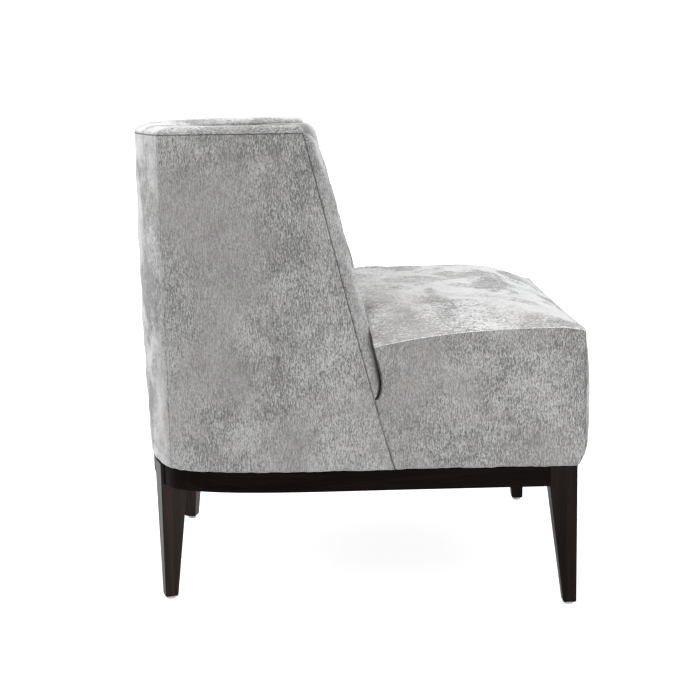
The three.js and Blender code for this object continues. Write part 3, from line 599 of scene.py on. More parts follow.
def sewn(grid, seed, seams, wave=plain_wave, pucker=plain_pucker):
    """A panel's outer face with its rolled edges, puckers and waves. seams says how strongly each
    of the four edges rolls in: first row, last row, first column, last column."""
    out = normals_of(grid)
    distances = edge_distances(grid)
    down, right = distances[0], distances[2]
    nearest = np.full(grid.shape[:2], 1.0)
    rolled = np.zeros(grid.shape[:2])
    gathered = np.zeros(grid.shape[:2])
    for index, (distance, sewn_here) in enumerate(zip(distances, seams)):
        if not sewn_here:
            continue
        nearest = np.minimum(nearest, distance)
        rolled = np.maximum(rolled, rolled_edge(distance, seam_roll * sewn_here))
        run = right if index < 2 else down
        gathers = ripple(run, distance * 0.25, gather_length, seed + 10 + index)
        fade = np.exp(-distance / pucker_reach) * (1 - np.exp(-distance / stitch_reach))
        gathered = gathered + gathers * fade * pucker
    inward = 1 - np.exp(-nearest / wave_reach)
    waves = ripple(right, down, long_wave, seed)
    waves = waves + 0.3 * ripple(right, down, short_wave, seed + 1)
    lift = waves * inward * wave - gathered - rolled
    return grid + out * lift[..., None], out, rolled


def grid_faces(rows, columns):
    index = np.arange(rows * columns).reshape(rows, columns)
    corners = [index[:-1, :-1], index[1:, :-1], index[1:, 1:], index[:-1, 1:]]
    return np.stack(corners, axis=-1).reshape(-1, 4), index


def new_piece(name, points, faces, material):
    """A smooth mesh, made from lists of points and faces, that is part of the chair."""
    mesh = bpy.data.meshes.new(name)
    mesh.from_pydata(points, [], faces)
    mesh.validate()
    mesh.update()
    for polygon in mesh.polygons:
        polygon.use_smooth = True
    made = bpy.data.objects.new(name, mesh)
    bpy.context.scene.collection.objects.link(made)
    made.data.materials.append(material)
    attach(made, "root")
    return made


def closed_sheet(name, outer, inner, material):
    """A closed mesh between two grids of the same size, the outer one facing out."""
    rows, columns = outer.shape[:2]
    quads, index = grid_faces(rows, columns)
    faces = [quads, (quads + rows * columns)[:, ::-1]]
    rim = np.concatenate([
        index[:, 0], index[-1, 1:], index[::-1, -1][1:], index[0, ::-1][1:],
    ])
    across = rim + rows * columns
    faces.append(np.stack([rim[:-1], across[:-1], across[1:], rim[1:]], axis=-1))
    points = np.concatenate([outer.reshape(-1, 3), inner.reshape(-1, 3)])
    return new_piece(name, points.tolist(), np.concatenate(faces).tolist(), material)


outer_faces = {}


def cover_panel(name, grid, seed, seams, material, outward, hem=False, **shape):
    """One sewn panel. outward is roughly the way its middle faces."""
    if hem:
        grid = hem_waves(grid, seed)
    middle = normals_of(grid)[grid.shape[0] // 2, grid.shape[1] // 2]
    if middle @ np.array(outward) < 0:
        grid = grid[:, ::-1]
        seams = (seams[0], seams[1], seams[3], seams[2])
    outer, out, rolled = sewn(grid, seed, seams, **shape)
    outer_faces[name] = outer
    inner = grid - out * (cover_thickness + 0.8 * rolled)[..., None]
    return closed_sheet(name, outer, inner, material)


def mirrored(grid):
    return grid * np.array([-1, 1, 1])


def both_sides(grid):
    return (("right", grid, -1), ("left", mirrored(grid), 1))


def declare_cover(nodes):
    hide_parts(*nodes)


def multiply(tree, first, second):
    product = add_node(tree, "ShaderNodeMath", operation="MULTIPLY")
    tree.links.new(first, product.inputs[0])
    tree.links.new(second, product.inputs[1])
    return product.outputs[0]


pile, pile_in, pile_out = new_effect(
    "chenille pile",
    {
        "Deep": (0.14, 0.135, 0.13, 1), "Lifted": (0.34, 0.33, 0.32, 1),
        "Warm": (0.25, 0.225, 0.2, 1), "Stretch": (1, 1, 1), "Clouds": 0.0,
    },
    ("Color", "Painted Sheen Mask", "Height"),
)
place = stretched_place(pile, pile_in)
ribs = noise_of(pile, place, 860, 2, 0.6)
strands = noise_of(pile, place, 560, 2, 0.6, 0.2)
unstretched = own_place(pile)
brushed = noise_of(pile, unstretched, 34, 4, 0.62, 0.4)
patches = noise_of(pile, unstretched, 11, 3, 0.5, 0.7)
tint = noise_of(pile, unstretched, 7, 2, 0.5)
thinner = add_node(pile, "ShaderNodeMapping")
pile.links.new(place, thinner.inputs["Vector"])
pile.links.new(pile_in.outputs["Stretch"], thinner.inputs["Scale"])
lines = noise_of(pile, thinner.outputs["Vector"], 760, 2, 0.5)
fibres = add_values(pile, add_values(pile, ribs, strands, 0.5), lines, 0.6)
cloudy = multiply(pile, spread(pile, patches, 0.26, 0.72, -1, 1), pile_in.outputs["Clouds"])
tone = add_values(pile, add_values(pile, fibres, brushed, 0.27), patches, 0.3)
tone = add_values(pile, tone, cloudy, 0.15)
coloured = blend_colours(
    pile,
    spread(pile, tone, 1.13, 1.57),
    pile_in.outputs["Deep"],
    pile_in.outputs["Lifted"],
)
pile.links.new(
    blend_colours(
        pile, spread(pile, tint, 0.4, 0.7, 0, 0.5), coloured, pile_in.outputs["Warm"]
    ),
    pile_out.inputs["Color"],
)
# Patches where the cloth's colour gets its painted sheen.
mottle = add_values(pile, add_values(pile, patches, brushed, 0.5), cloudy)
pile.links.new(
    spread(pile, add_values(pile, mottle, strands, 0.9), 1.0, 1.39), pile_out.inputs["Painted Sheen Mask"]
)
pile.links.new(tone, pile_out.inputs["Height"])


def chenille(name, deep, lifted, warm, lit, painted_sheen_most, stretch, clouds=0.0, back_shade_places=None):
    """The covers' cloth. Its colour is brightened towards a pale grey, in patches, where its face
    is seen at
    a slant: a painted sheen, up to the given share. An optional pair of places, back to front,
    cuts that sheen to about a sixth behind the first and lets it grow back by the second: painted
    shade from the back."""
    material, tree, shader = new_finish(
        name, Roughness=0.95, **{
            "Sheen Weight": 0.35, "Sheen Roughness": 0.5, "Sheen Tint": (0.97, 0.98, 1, 1),
            "Specular IOR Level": 0.2,
        }
    )
    made = place_effect(
        tree, pile, Deep=deep, Lifted=lifted, Warm=warm, Stretch=stretch, Clouds=clouds
    )
    # Painted sheen: the colour is pushed towards a pale grey where the face is seen at a slant.
    slope = add_node(tree, "ShaderNodeLayerWeight")
    slope.inputs["Blend"].default_value = 0.5
    lean = spread(tree, slope.outputs["Facing"], 0.3, 0.95)
    painted_sheen_share = spread(tree, made.outputs["Painted Sheen Mask"], 0.0, 1.0, 0.06 * painted_sheen_most, painted_sheen_most)
    bright = multiply(tree, lean, painted_sheen_share)
    # Painted shade from the back: the painted sheen is cut down towards the rear of the seat.
    if back_shade_places:
        parts = add_node(tree, "ShaderNodeSeparateXYZ")
        tree.links.new(own_place(tree), parts.inputs["Vector"])
        share_outside_back_shade = spread(tree, parts.outputs["Y"], back_shade_places[1], back_shade_places[0], 1.0, 0.15)
        bright = multiply(tree, bright, share_outside_back_shade)
    tree.links.new(
        blend_colours(tree, bright, made.outputs["Color"], lit), shader.inputs["Base Color"]
    )
    raise_surface(tree, shader, made.outputs["Height"], pile_relief)
    return material


pile_relief = 1.4 * mm
# The pale grey that the painted sheen brightens the cloth towards.
painted_sheen_grey = (0.86, 0.865, 0.87, 1)
# Three copies of one cloth: the walls' copy is darker, as painted shade on the upright sides, and
# the seat's and the band's copies are lighter with more painted sheen, as painted light on faces
# that look up.
wall_chenille_painted_darker = chenille(
    "chenille painted darker for the walls", (0.12, 0.119, 0.117, 1), (0.456, 0.452, 0.447, 1), (0.27, 0.252, 0.24, 1),
    painted_sheen_grey, 0.68, (1, 1, 0.3), clouds=0.02,
)
# The seat's copy fades its painted sheen out towards the back, as painted shade cast by the back.
seat_chenille_painted_lit = chenille(
    "chenille painted lit for the seat", (0.25, 0.248, 0.246, 1), (0.78, 0.78, 0.775, 1), (0.5, 0.48, 0.465, 1),
    painted_sheen_grey, 0.9, (0.42, 0.3, 1), clouds=0.42, back_shade_places=(-0.04, -0.2),
)
band_chenille_painted_lit = chenille(
    "chenille painted lit for the band", (0.17, 0.168, 0.166, 1), (0.62, 0.615, 0.61, 1),
    (0.36, 0.34, 0.325, 1), painted_sheen_grey, 0.92, (0.42, 0.42, 1),
)

# Back covers: two side panels, sewn along the wing to the inside cover and along the rear corner
# to the outside back. The hem is turned under and stapled below the frame.

side_run = 370 * mm
wall_run = 530 * mm
rear_run = 620 * mm
rear_bulge = 3 * mm
rear_wave = 0.9 * mm


def pillow(share):
    """Rises from 0 to 1 in the middle and back to 0, like half a sine wave."""
    return np.sin(np.pi * np.clip(share, 0, 1))


side_columns = spaced(side_run)
wall_rows = spaced(wall_run)
levels = mix(top_seam_height, hem_height, wall_rows)[:, None]
side_grid = as_grid(*side_line(levels, side_columns[None]), levels)
for side, grid, out in both_sides(side_grid):
    panel = cover_panel(
        f"back_side_panel_{side}", grid, 100 + out, (0.7, 2, 0.6, 1), wall_chenille_painted_darker,
        (out, 0, 0), hem=True,
    )
    declare_cover([f"back_side_cover_{side}"])

places = mix(-1, 1, spaced(rear_run))[None]
rear_x, rear_y = rear_line(levels, places)
bulge = rear_bulge * pillow(wall_share(levels)) * pillow((places + 1) / 2)
rear_grid = as_grid(rear_x, rear_y + bulge, levels)
outside_back = cover_panel(
    "outside_back_panel", rear_grid, 120, (0.7, 2, 1, 1), wall_chenille_painted_darker, (0, 1, 0),
    hem=True, wave=rear_wave,
)
declare_cover(["outside_back_cover"])

# Top band: one strip that follows the top of the back from wing tip to wing tip, slightly domed
# over wadding, sewn to the outside covers along one edge and to the inside cover along the other.

half_band_run = 660 * mm
band_width = 58 * mm
band_step = 3 * mm
band_dome = 11.8 * mm
band_tip = 15 * mm
band_wave = 0.35 * mm
top_roll = 20 * mm
corner_turn = 8 / 14


def both_halves(half_run):
    """Places from one side to the other: shares, 0 at both ends and 1 in the middle, and the
    factor that mirrors the far half."""
    lead = spaced(half_run, end=False)
    places = np.concatenate([lead, (2 - lead[::-1])[1:]])
    return np.minimum(places, 2 - places)[None], np.where(places > 1, -1, 1)[None]


def barrel_angle(half):
    return np.interp(half, [0, corner_turn, 1], [0, np.pi / 4, np.pi / 2])


def outer_wall(height, half):
    side = side_line(height, np.clip(half / corner_turn, 0, 1))
    rear = rear_line(height, -1 + np.clip((half - corner_turn) / (1 - corner_turn), 0, 1))
    on_side = half <= corner_turn
    return np.where(on_side, side[0], rear[0]), np.where(on_side, side[1], rear[1])


half, flip = both_halves(half_band_run)
outer_x, outer_y = outer_wall(top_seam_height, half)
inner_x, inner_y = barrel_line(top_seam_height, barrel_angle(half), top_roll)
band_rows = spaced(band_width, coarse=band_step)[:, None]
from_tip = quarter_round(half * half_band_run, band_tip)
arched = quarter_round(band_rows, 0.28) * quarter_round(1 - band_rows, 0.4)
band_grid = as_grid(
    flip * mix(outer_x, inner_x, band_rows),
    mix(outer_y, inner_y, band_rows),
    top_seam_height + band_dome * arched * from_tip,
)
top_band = cover_panel(
    "top_band_panel", band_grid, 140, (0.7, 0.7, 1, 1), band_chenille_painted_lit, (0, 0, 1),
    wave=band_wave,
)
declare_cover(["top_band_cover"])

# Inside-back cover: one panel from wing to wing, pulled down into the crevice behind the seat. It
# rolls over the front of each wing and over the top edge, where the stitching draws it in, and it
# swells a little between its seams over the foam.

cloth_values = {
    "quality": 6, "mass": 0.3, "shrink_min": -0.008, "use_pressure": True,
    "tension_stiffness": 60, "compression_stiffness": 40, "shear_stiffness": 12,
    "bending_stiffness": 0.4,
}
last_frame = 20
cloth_swell = 5 * mm
cloth_cell = 9 * mm
straight_foot = 333.2 * mm
roll_foot = top_seam_height - top_roll
straight_run = roll_foot - straight_foot
full_run = straight_run + top_roll * np.pi / 2
run = full_run * (1 - spaced(full_run, end=False)[::-1])
tuck_run = 46 * mm
tuck_step = 1.2 * mm
run = np.concatenate([np.arange(0, tuck_run, tuck_step), run[run > tuck_run]])[:, None]
roll_turn = np.clip((run - straight_run) / top_roll, 0, np.pi / 2)
inside_z = straight_foot + np.minimum(run, straight_run) + top_roll * np.sin(roll_turn)
retreat = top_roll * (1 - np.cos(roll_turn))


def even_places(curve, count):
    """Shares of a curve's own measure that divide its length evenly."""
    shares = np.linspace(0, 1, 2001)
    across, along = curve(shares)
    steps = np.hypot(np.diff(across), np.diff(along))
    length = np.concatenate([[0], np.cumsum(steps)])
    return np.interp(np.linspace(0, length[-1], count), length, shares)


def wing_front(height, share, retreat, turn):
    width = wing_thickness - retreat
    drop = crown_of_wing(height) * np.cos(turn)
    return (
        width * (1 - np.cos(np.pi * share)) / 2 - wall_half(height),
        wing_y(height) - drop * np.sin(np.pi * share),
    )


middle_height = 550 * mm
crown_run = 100 * mm
crown_count, barrel_count = 34, 84
crown_places = even_places(
    lambda share: wing_front(middle_height, share, 0, 0), crown_count
)
crown_places = np.interp(
    spaced(crown_run, end=False), np.linspace(0, 1, crown_count), crown_places
)
barrel_places = even_places(
    lambda share: barrel_line(middle_height, share * np.pi / 2, 0), barrel_count
)[1:]
crown_grid = as_grid(
    *wing_front(inside_z, crown_places[None], retreat, roll_turn), inside_z
)
fold_top = 384 * mm
fold_fade = 36 * mm
fold_slant = 9 * mm
fold_pitch = 8.5 * mm
fold_size = np.array([0.9, 1, 0]) * mm
tuck = smooth((fold_top - inside_z) / fold_fade) * (1 - crown_places[None]) ** 2
folds = np.sin((inside_z + fold_slant * crown_places[None]) * 2 * np.pi / fold_pitch)
crown_grid += (tuck * folds)[..., None] * fold_size
hollow_grid = as_grid(
    *barrel_line(inside_z, barrel_places[None] * np.pi / 2, retreat), inside_z
)
half_inside = np.concatenate([crown_grid, hollow_grid], axis=1)
inside_grid = np.concatenate([half_inside, mirrored(half_inside)[:, -2::-1]], axis=1)


def along_knots(values, shares):
    """Smooth values at shares of a row of evenly spaced knots."""
    last = len(values) - 1
    place = np.clip(shares, 0, 1) * last
    at = np.minimum(place.astype(int), last - 1)
    step = (place - at).reshape((-1,) + (1,) * (values.ndim - 1))
    before, start = values[np.maximum(at - 1, 0)], values[at]
    end, after = values[at + 1], values[np.minimum(at + 2, last)]
    return start + 0.5 * step * (
        end - before + step * (
            2 * before - 5 * start + 4 * end - after + step * (3 * (start - end) + after - before)
        )
    )


def even_knots(grid, row_shares, column_shares, cell):
    """The grid's points at even spacing, for a mesh of about square cells."""
    down, _, right, _ = edge_distances(grid)
    for shares, length in ((row_shares, down[-1].max()), (column_shares, right[:, -1].max())):
        count = max(round(length / cell), 8) + 1
        places = np.interp(np.linspace(0, 1, count), shares, np.arange(len(shares)))
        low = np.minimum(places.astype(int), len(shares) - 2)
        share = (places - low)[:, None, None]
        grid = (grid[low] * (1 - share) + grid[low + 1] * share).transpose(1, 0, 2)
    return grid


def settled(grid, press, most=cloth_swell, cell=cloth_cell):
    """Lets a panel that is held along its sewn edges swell, by cloth simulation, as the padding
    presses behind it. most is about the farthest that the cloth moves."""
    down, _, right, _ = edge_distances(grid)
    middle_row, middle_column = grid.shape[0] // 2, grid.shape[1] // 2
    row_shares = down[:, middle_column] / down[-1, middle_column]
    column_shares = right[middle_row] / right[middle_row, -1]
    knots = even_knots(grid, row_shares, column_shares, cell)
    rows, columns = knots.shape[:2]
    quads, index = grid_faces(rows, columns)
    mesh = bpy.data.meshes.new("settling")
    mesh.from_pydata(knots.reshape(-1, 3).tolist(), [], quads.tolist())
    cloth_piece = bpy.data.objects.new("settling", mesh)
    bpy.context.scene.collection.objects.link(cloth_piece)
    edge = np.ones((rows, columns), bool)
    edge[1:-1, 1:-1] = False
    pins = cloth_piece.vertex_groups.new(name="sewn edge")
    pins.add(index[edge].tolist(), 1.0, "REPLACE")
    cloth = cloth_piece.modifiers.new("settling", "CLOTH")
    cloth.settings.vertex_group_mass = pins.name
    for key, value in cloth_values.items():
        setattr(cloth.settings, key, value)
    cloth.settings.uniform_pressure_force = press
    cloth.settings.effector_weights.gravity = 0
    cloth.point_cache.frame_start = 1
    cloth.point_cache.frame_end = last_frame
    for step in range(1, last_frame + 1):
        bpy.context.scene.frame_set(step)
    settled_mesh = cloth_piece.evaluated_get(bpy.context.evaluated_depsgraph_get()).to_mesh()
    moved = np.empty(rows * columns * 3)
    settled_mesh.vertices.foreach_get("co", moved)
    moved = moved.reshape(rows, columns, 3) - knots
    bpy.data.objects.remove(cloth_piece)
    bpy.data.meshes.remove(mesh)
    bpy.context.scene.frame_set(1)
    far = np.linalg.norm(moved, axis=-1, keepdims=True)
    moved = moved * np.tanh(far / most) * most / np.maximum(far, 1e-9)
    by_row = along_knots(moved, row_shares)
    return grid + along_knots(by_row.transpose(1, 0, 2), column_shares).transpose(1, 0, 2)


inside_pressure = -1.5
inside_swell = 2 * mm
inside_cell = 14 * mm
inside_wave = 0.8 * mm
inside_back = cover_panel(
    "inside_back_panel", settled(inside_grid, inside_pressure, inside_swell, inside_cell), 160,
    (1, 0, 1, 1), wall_chenille_painted_darker, (0, -1, 0), wave=inside_wave,
)

# Seat covers: a crowned top panel over the cushion, sewn with a plain seam to a front panel and
# two side panels that are pulled down over the seat frame and stapled under it.

seat_seam = 456 * mm
seat_seam_fall = 26 * mm
seat_corner_drop = 4.5 * mm
seat_front_sag = 4.5 * mm
seat_top = 489 * mm
hem_setback = 12 * mm
front_bow = 1.5 * mm
front_bulge = 12.4 * mm
seat_side_bulge = 5 * mm
crevice = 0.3 * mm
front_rise = 150 * mm
side_rise = 120 * mm
rear_rise = 60 * mm
front_start = 0.88
tuck_share = 0.16
wing_share = 0.2
wing_across = wing_thickness / half_hem


def soft_rise(distance, reach):
    """Rises from 0 to 1 over reach, like a parabola."""
    left = 1 - np.clip(distance / reach, 0, 1)
    return 1 - left * left


def rear_shares(place):
    """How far along the wing's front, and then round the barrel, a place on the seat's rear is."""
    past_wing = (place - wing_share) / (1 - wing_share)
    return np.clip(place / wing_share, 0, 1), np.clip(past_wing, 0, 1)


def seat_rear(height, place):
    """The rear line of the seat: along the wing's front, then round the barrel."""
    on_wing, round_barrel = rear_shares(place)
    barrel_x, barrel_y = barrel_line(height, barrel_angle(round_barrel), -crevice)
    wing_line = wing_y(height) - crown_of_wing(height) - crevice
    past_wing = smooth(round_barrel * 14)
    across = np.where(place < wing_share, mix(-wall_half(height), barrel_x, on_wing), barrel_x)
    return across, mix(wing_line, barrel_y, past_wing)


def front_across(place):
    """Where along the seat's front edge a place lies: 1 at the corner, 0 in the middle."""
    on_wing, round_barrel = rear_shares(place)
    return np.where(
        place < wing_share, 1 - wing_across * on_wing, (1 - wing_across) * (1 - round_barrel)
    )


def seat_front(height, place):
    across = front_across(place)
    rise = np.clip((height - hem_height) / (seat_seam - hem_height), 0, 1)
    tucked = hem_setback * (1 - np.sin(np.pi / 2 * np.clip(rise / tuck_share, 0, 1)))
    bow = front_bow * (1 - across**2) * rise**2
    return -wall_half(height) * across, front_seam_y + tucked - bow


def near_front(row):
    """Rises from 0 to 1 over the last eighth of the seat before its front edge."""
    return smooth((row - front_start) / (1 - front_start))


def seat_seam_height(row):
    fall = seat_seam_fall * np.clip(1 - row, 0, 1) ** 2.8
    return seat_seam - fall - seat_corner_drop * near_front(row)


def seat_plan(row, place, height):
    rear, front = seat_rear(height, place), seat_front(height, place)
    return mix(rear[0], front[0], row), mix(rear[1], front[1], row)


def seat_height(row, place):
    """The crowned face of the cushion, over the seat's rear at row 0 and its front at row 1."""
    rear, front = seat_rear(seat_seam, place), seat_front(seat_seam, place)
    x, y = mix(rear[0], front[0], row), mix(rear[1], front[1], row)
    from_front = np.hypot(x - front[0], y - front[1])
    from_rear = np.hypot(x - rear[0], y - rear[1])
    swell = (
        soft_rise(from_front, front_rise)
        * soft_rise(wall_half(seat_seam) + x, side_rise) ** 0.75
        * mix(0.8, 1, quarter_round(from_rear, rear_rise))
    )
    sag = seat_front_sag * near_front(row) * (1 - front_across(place) ** 2)
    return mix(seat_seam_height(row) - sag, seat_top, swell)


seat_run = 400 * mm
drop_run = 230 * mm
seat_side_run = 290 * mm
seat_wave = 1.1 * mm
seat_pucker = 0.5 * mm
skirt_wave = 0.8 * mm
top_pressure = 4.0
skirt_pressure = 2.5
half, flip = both_halves(seat_run)
rows = spaced(seat_run)[:, None]
top_z = seat_height(rows, half)
top_x, top_y = seat_plan(rows, half, top_z)
top_grid = as_grid(flip * top_x, top_y, top_z)
seat_top_panel = cover_panel(
    "seat_top_panel", settled(top_grid, top_pressure), 180, (0.7, 0.7, 0.7, 0.7),
    seat_chenille_painted_lit, (0, 0, 1), wave=seat_wave, pucker=seat_pucker,
)

# The rows lie closer together where the panels pass the round end of the wing's pad.
pad_end_rows = np.linspace(0.3, 0.56, 44)
drop_rows = spaced(drop_run)
above, below = drop_rows < pad_end_rows[0], drop_rows > pad_end_rows[-1]
drop_rows = np.concatenate([drop_rows[above], pad_end_rows, drop_rows[below]])[:, None]
front_top = seat_height(1, half)
front_z = mix(front_top, hem_height, drop_rows)
front_x, front_y = seat_front(front_z, half)
swell = front_bulge * pillow(1 - drop_rows) ** 0.5 * quarter_round(1 - front_across(half), 0.3)
front_grid = as_grid(flip * front_x, front_y - swell, front_z)
front_swell = 3 * mm
seat_front_panel = cover_panel(
    "seat_front_panel", settled(front_grid, skirt_pressure, front_swell), 200,
    (0.7, 2.4, 0.8, 0.8), wall_chenille_painted_darker, (0, -1, 0), hem=True, wave=skirt_wave,
)

across_rows = spaced(seat_side_run)[None]
side_top = seat_height(across_rows, 0)
side_z = mix(side_top, hem_height, drop_rows)
side_x, side_y = seat_plan(across_rows, 0, side_z)
side_x = side_x - seat_side_bulge * pillow(1 - drop_rows) * pillow(across_rows)
seat_side_grid = as_grid(side_x, side_y, side_z)
side_swell = 2.5 * mm
turn_depth = 18 * mm
turn_radius = 2.5 * mm


def turned_in(grid):
    """Lets the right side panel's rear edge turn the corner and run in before the wing's pad."""
    rear = grid[:, :1]
    from_rear = edge_distances(grid)[2]
    first = int(np.argmax(from_rear.min(axis=0) > turn_radius))
    angle = np.linspace(np.pi / 2, 0, 7)[None]
    round_corner = as_grid(
        rear[..., 0] + turn_radius * (1 - np.cos(angle)),
        rear[..., 1] - turn_radius * (1 - np.sin(angle)),
        rear[..., 2],
    )
    run_in = np.linspace(turn_depth, turn_radius, 8)[None, :-1]
    before_wing = as_grid(rear[..., 0] + run_in, rear[..., 1], rear[..., 2])
    return np.concatenate([before_wing, round_corner, grid[:, first:]], axis=1)


side_cloth = turned_in(settled(seat_side_grid, skirt_pressure, side_swell))
seat_covers = [
    (seat_top_panel, top_grid, "seat_top_cover"),
    (seat_front_panel, front_grid, "seat_front_cover"),
]
for side, grid, out in both_sides(side_cloth):
    panel = cover_panel(
        f"seat_side_panel_{side}", grid, 220 + out, (0.7, 2, 0, 0.8), wall_chenille_painted_darker,
        (out, 0, 0), hem=True, wave=skirt_wave,
    )
    seat_covers.append((panel, grid, f"seat_side_cover_{side}"))

# Seam lines: thin dark tubes laid in the seams of the back and down the front corners as painted
# shade, and a narrow welt that stands up along the seam round the seat top, pale as a painted
# highlight.

tube_sides = 6
thread_relief = 0.3 * mm
thread_depth = 0.75 * mm
seam_radius = 0.6 * mm
crevice_depth = 2.4 * mm
crevice_radius = 1.4 * mm
corner_radius = 0.5 * mm
top_thread_depth = 1.2 * mm
welt_depth = -0.15 * mm
welt_radius = 0.75 * mm


def thread_tube(name, paths, radius, material):
    """Closed tubes along paths of points, as one piece."""
    points, faces = [], []
    around = np.linspace(0, 2 * np.pi, tube_sides, endpoint=False)
    for path in paths:
        path = np.asarray(path)
        along = np.gradient(path, axis=0)
        along /= np.linalg.norm(along, axis=1, keepdims=True)
        side = np.cross(along, np.array([0.31, 0.52, 0.79]))
        side /= np.linalg.norm(side, axis=1, keepdims=True)
        other = np.cross(along, side)
        ring = (
            side[:, None] * np.cos(around)[None, :, None]
            + other[:, None] * np.sin(around)[None, :, None]
        )
        base = len(points)
        points.extend((path[:, None] + radius * ring).reshape(-1, 3).tolist())
        index = np.arange(len(path) * tube_sides).reshape(len(path), tube_sides) + base
        turned = np.roll(index, -1, axis=1)
        quads = np.stack([index[:-1], turned[:-1], turned[1:], index[1:]], axis=-1)
        faces.extend(quads.reshape(-1, 4).tolist())
        faces.append(index[0, ::-1].tolist())
        faces.append(index[-1].tolist())
    new_piece(name, points, faces, material)


def seam_line_finish(name, dark, light):
    shades = (dark, light)
    return speckled_finish(name, 420, 2, shades, (0.38, 0.62), (0.9, 0.9), thread_relief)


def under_skin(path, outward, depth):
    """A seam's line moved in from the face by depth, or out where depth is negative."""
    return np.asarray(path) - np.array(outward) * depth


# Painted shade: dark tubes in the grooves of the back's seams.
dark_seam_shade_finish = seam_line_finish("dark painted seam shade", (0.03, 0.028, 0.027, 1), (0.1, 0.095, 0.09, 1))
seam_paths = []
for _, grid, out in both_sides(side_grid):
    seam_paths.append(under_skin(grid[:, 0], (out * 0.7, -0.7, 0), thread_depth))
    seam_paths.append(under_skin(grid[0], (out * 0.8, 0, 0.6), thread_depth))
seam_paths.append(under_skin(rear_grid[0], (0, 0.8, 0.6), thread_depth))
thread_tube("painted_seam_shade_lines", seam_paths, seam_radius, dark_seam_shade_finish)
# Painted shadow: a wider dark tube deep in the crevice between the seat's sides and the wings.
crevice_shadow_paths = [
    under_skin(grid[:, 0], (out, 0, 0), crevice_depth)
    for _, grid, out in both_sides(seat_side_grid)
]
thread_tube("painted_crevice_shadow", crevice_shadow_paths, crevice_radius, dark_seam_shade_finish)
# Painted shade: grey tubes in the seams down the front corners and along the inside back's top
# seam.
grey_seam_shade_finish = seam_line_finish("grey painted seam shade", (0.09, 0.088, 0.086, 1), (0.24, 0.235, 0.23, 1))
front_seams = [
    under_skin(front_grid[:, column], (out * 0.7, -0.7, 0), thread_depth)
    for column, out in ((0, -1), (-1, 1))
]
front_seams.append(under_skin(inside_grid[-1], (0, 0, 1), top_thread_depth))
thread_tube("painted_front_seam_shade", front_seams, corner_radius, grey_seam_shade_finish)

# The welt's pale colour is a painted highlight along the ridge of the seam round the seat top.
welt_painted_highlight = seam_line_finish("pale welt painted as highlight", (0.5, 0.495, 0.48, 1), (0.9, 0.89, 0.86, 1))
top_edges = (
    (top_grid[:, 0], (-0.7, 0, 0.7)),
    (top_grid[:, -1], (0.7, 0, 0.7)),
    (top_grid[-1], (0, -0.7, 0.7)),
)
welt_paths = [under_skin(edge, outward, welt_depth) for edge, outward in top_edges]
thread_tube("seat_welt", welt_paths, welt_radius, welt_painted_highlight)

# Padding: a crowned block of firm seat foam on the webbing, a curved foam lining for the back and
# a soft pad glued to the front of each wing post. Each is drawn in under its finished cover.

foam_wave = 0.1 * mm
foam_relief = 0.6 * mm
seat_foam_depth = 3.4 * mm
back_foam_depth = 4.6 * mm
wing_pad_depth = 4 * mm
foam_reach = 25 * mm
foam_finish = speckled_finish(
    "cream foam", 900, 2, ((0.62, 0.54, 0.36, 1), (0.8, 0.74, 0.58, 1)),
    (0.35, 0.65), (1.0, 1.0), foam_relief,
)


def skin_of(names):
    """The outer faces of some covers, to measure how deep a point lies under them."""
    points, faces = [], []
    for name in names:
        outer = outer_faces[name]
        quads, _ = grid_faces(*outer.shape[:2])
        faces.extend((quads + len(points)).tolist())
        points.extend(outer.reshape(-1, 3).tolist())
    return BVHTree.FromPolygons(points, faces)


def settle_inside(piece, skin, depth):
    """Draws a piece in where it would come closer than depth to the face of its cover."""
    for point in piece.data.vertices:
        for _ in range(4):
            found, normal, _, distance = skin.find_nearest(point.co)
            short = depth - (found - point.co).dot(normal)
            if short <= 0 or distance > foam_reach:
                break
            point.co -= normal * short


seat_skin = skin_of([
    "seat_top_panel", "seat_front_panel", "seat_side_panel_right", "seat_side_panel_left",
])
back_skin = skin_of(["inside_back_panel", "back_side_panel_right", "back_side_panel_left"])
# Name, CAD piece, fill, skin of its cover, cuts of each edge, least depth under that skin.
paddings = (
    ("seat_padding", "seat_foam", 0.9, seat_skin, 1, seat_foam_depth),
    ("inside_back_padding", "inside_back_foam", 0.85, back_skin, 3, back_foam_depth),
    ("wing_padding_right", "wing_pad_right", 0.75, back_skin, 2, wing_pad_depth),
    ("wing_padding_left", "wing_pad_left", 0.75, back_skin, 2, wing_pad_depth),
)
for seed, (name, node, fill, skin, cuts, depth) in enumerate(paddings):
    pad = soft_copy(name, node, foam_finish, cuts, foam_wave, 300 + seed)
    settle_inside(pad, skin, depth)
for panel, grid, node in seat_covers:
    declare_cover([node])
declare_cover(["inside_back_cover"])

# Dust cover: black nonwoven cloth, stapled under the seat frame, that hides the straps and keeps
# dust out. Its edges lie inside the covers' hems.

dust_width_share = 0.985
dust_wave = 0.1 * mm
dust_front_gap = 14 * mm
dust_relief = 0.2 * mm
dust_threads = {
    "Dark": (0.006, 0.006, 0.006, 1), "Light": (0.02, 0.02, 0.02, 1), "Threads": 500,
}
nonwoven = effect_finish("black nonwoven", weave, dust_threads, dust_relief)
dust_sheet = soft_copy("dust_sheet", "dust_cover", nonwoven, 3, dust_wave, 340)
for point in dust_sheet.data.vertices:
    point.co.x *= dust_width_share
    point.co.y = max(point.co.y, front_seam_y + hem_setback + dust_front_gap)

# Seat frame rails: their outer edges are rounded off so that the cloth rolls under without a
# ridge. Each follows its cover at the thickness of the cloth.

rail_depth = 3.4 * mm
for name in ["seat_frame_front_rail"] + both("seat_frame_side_rail"):
    rail = soft_copy(f"eased_{name}", name, raw_beech, 3, 0, 360)
    for polygon in rail.data.polygons:
        polygon.use_smooth = False
    settle_inside(rail, seat_skin, rail_depth)

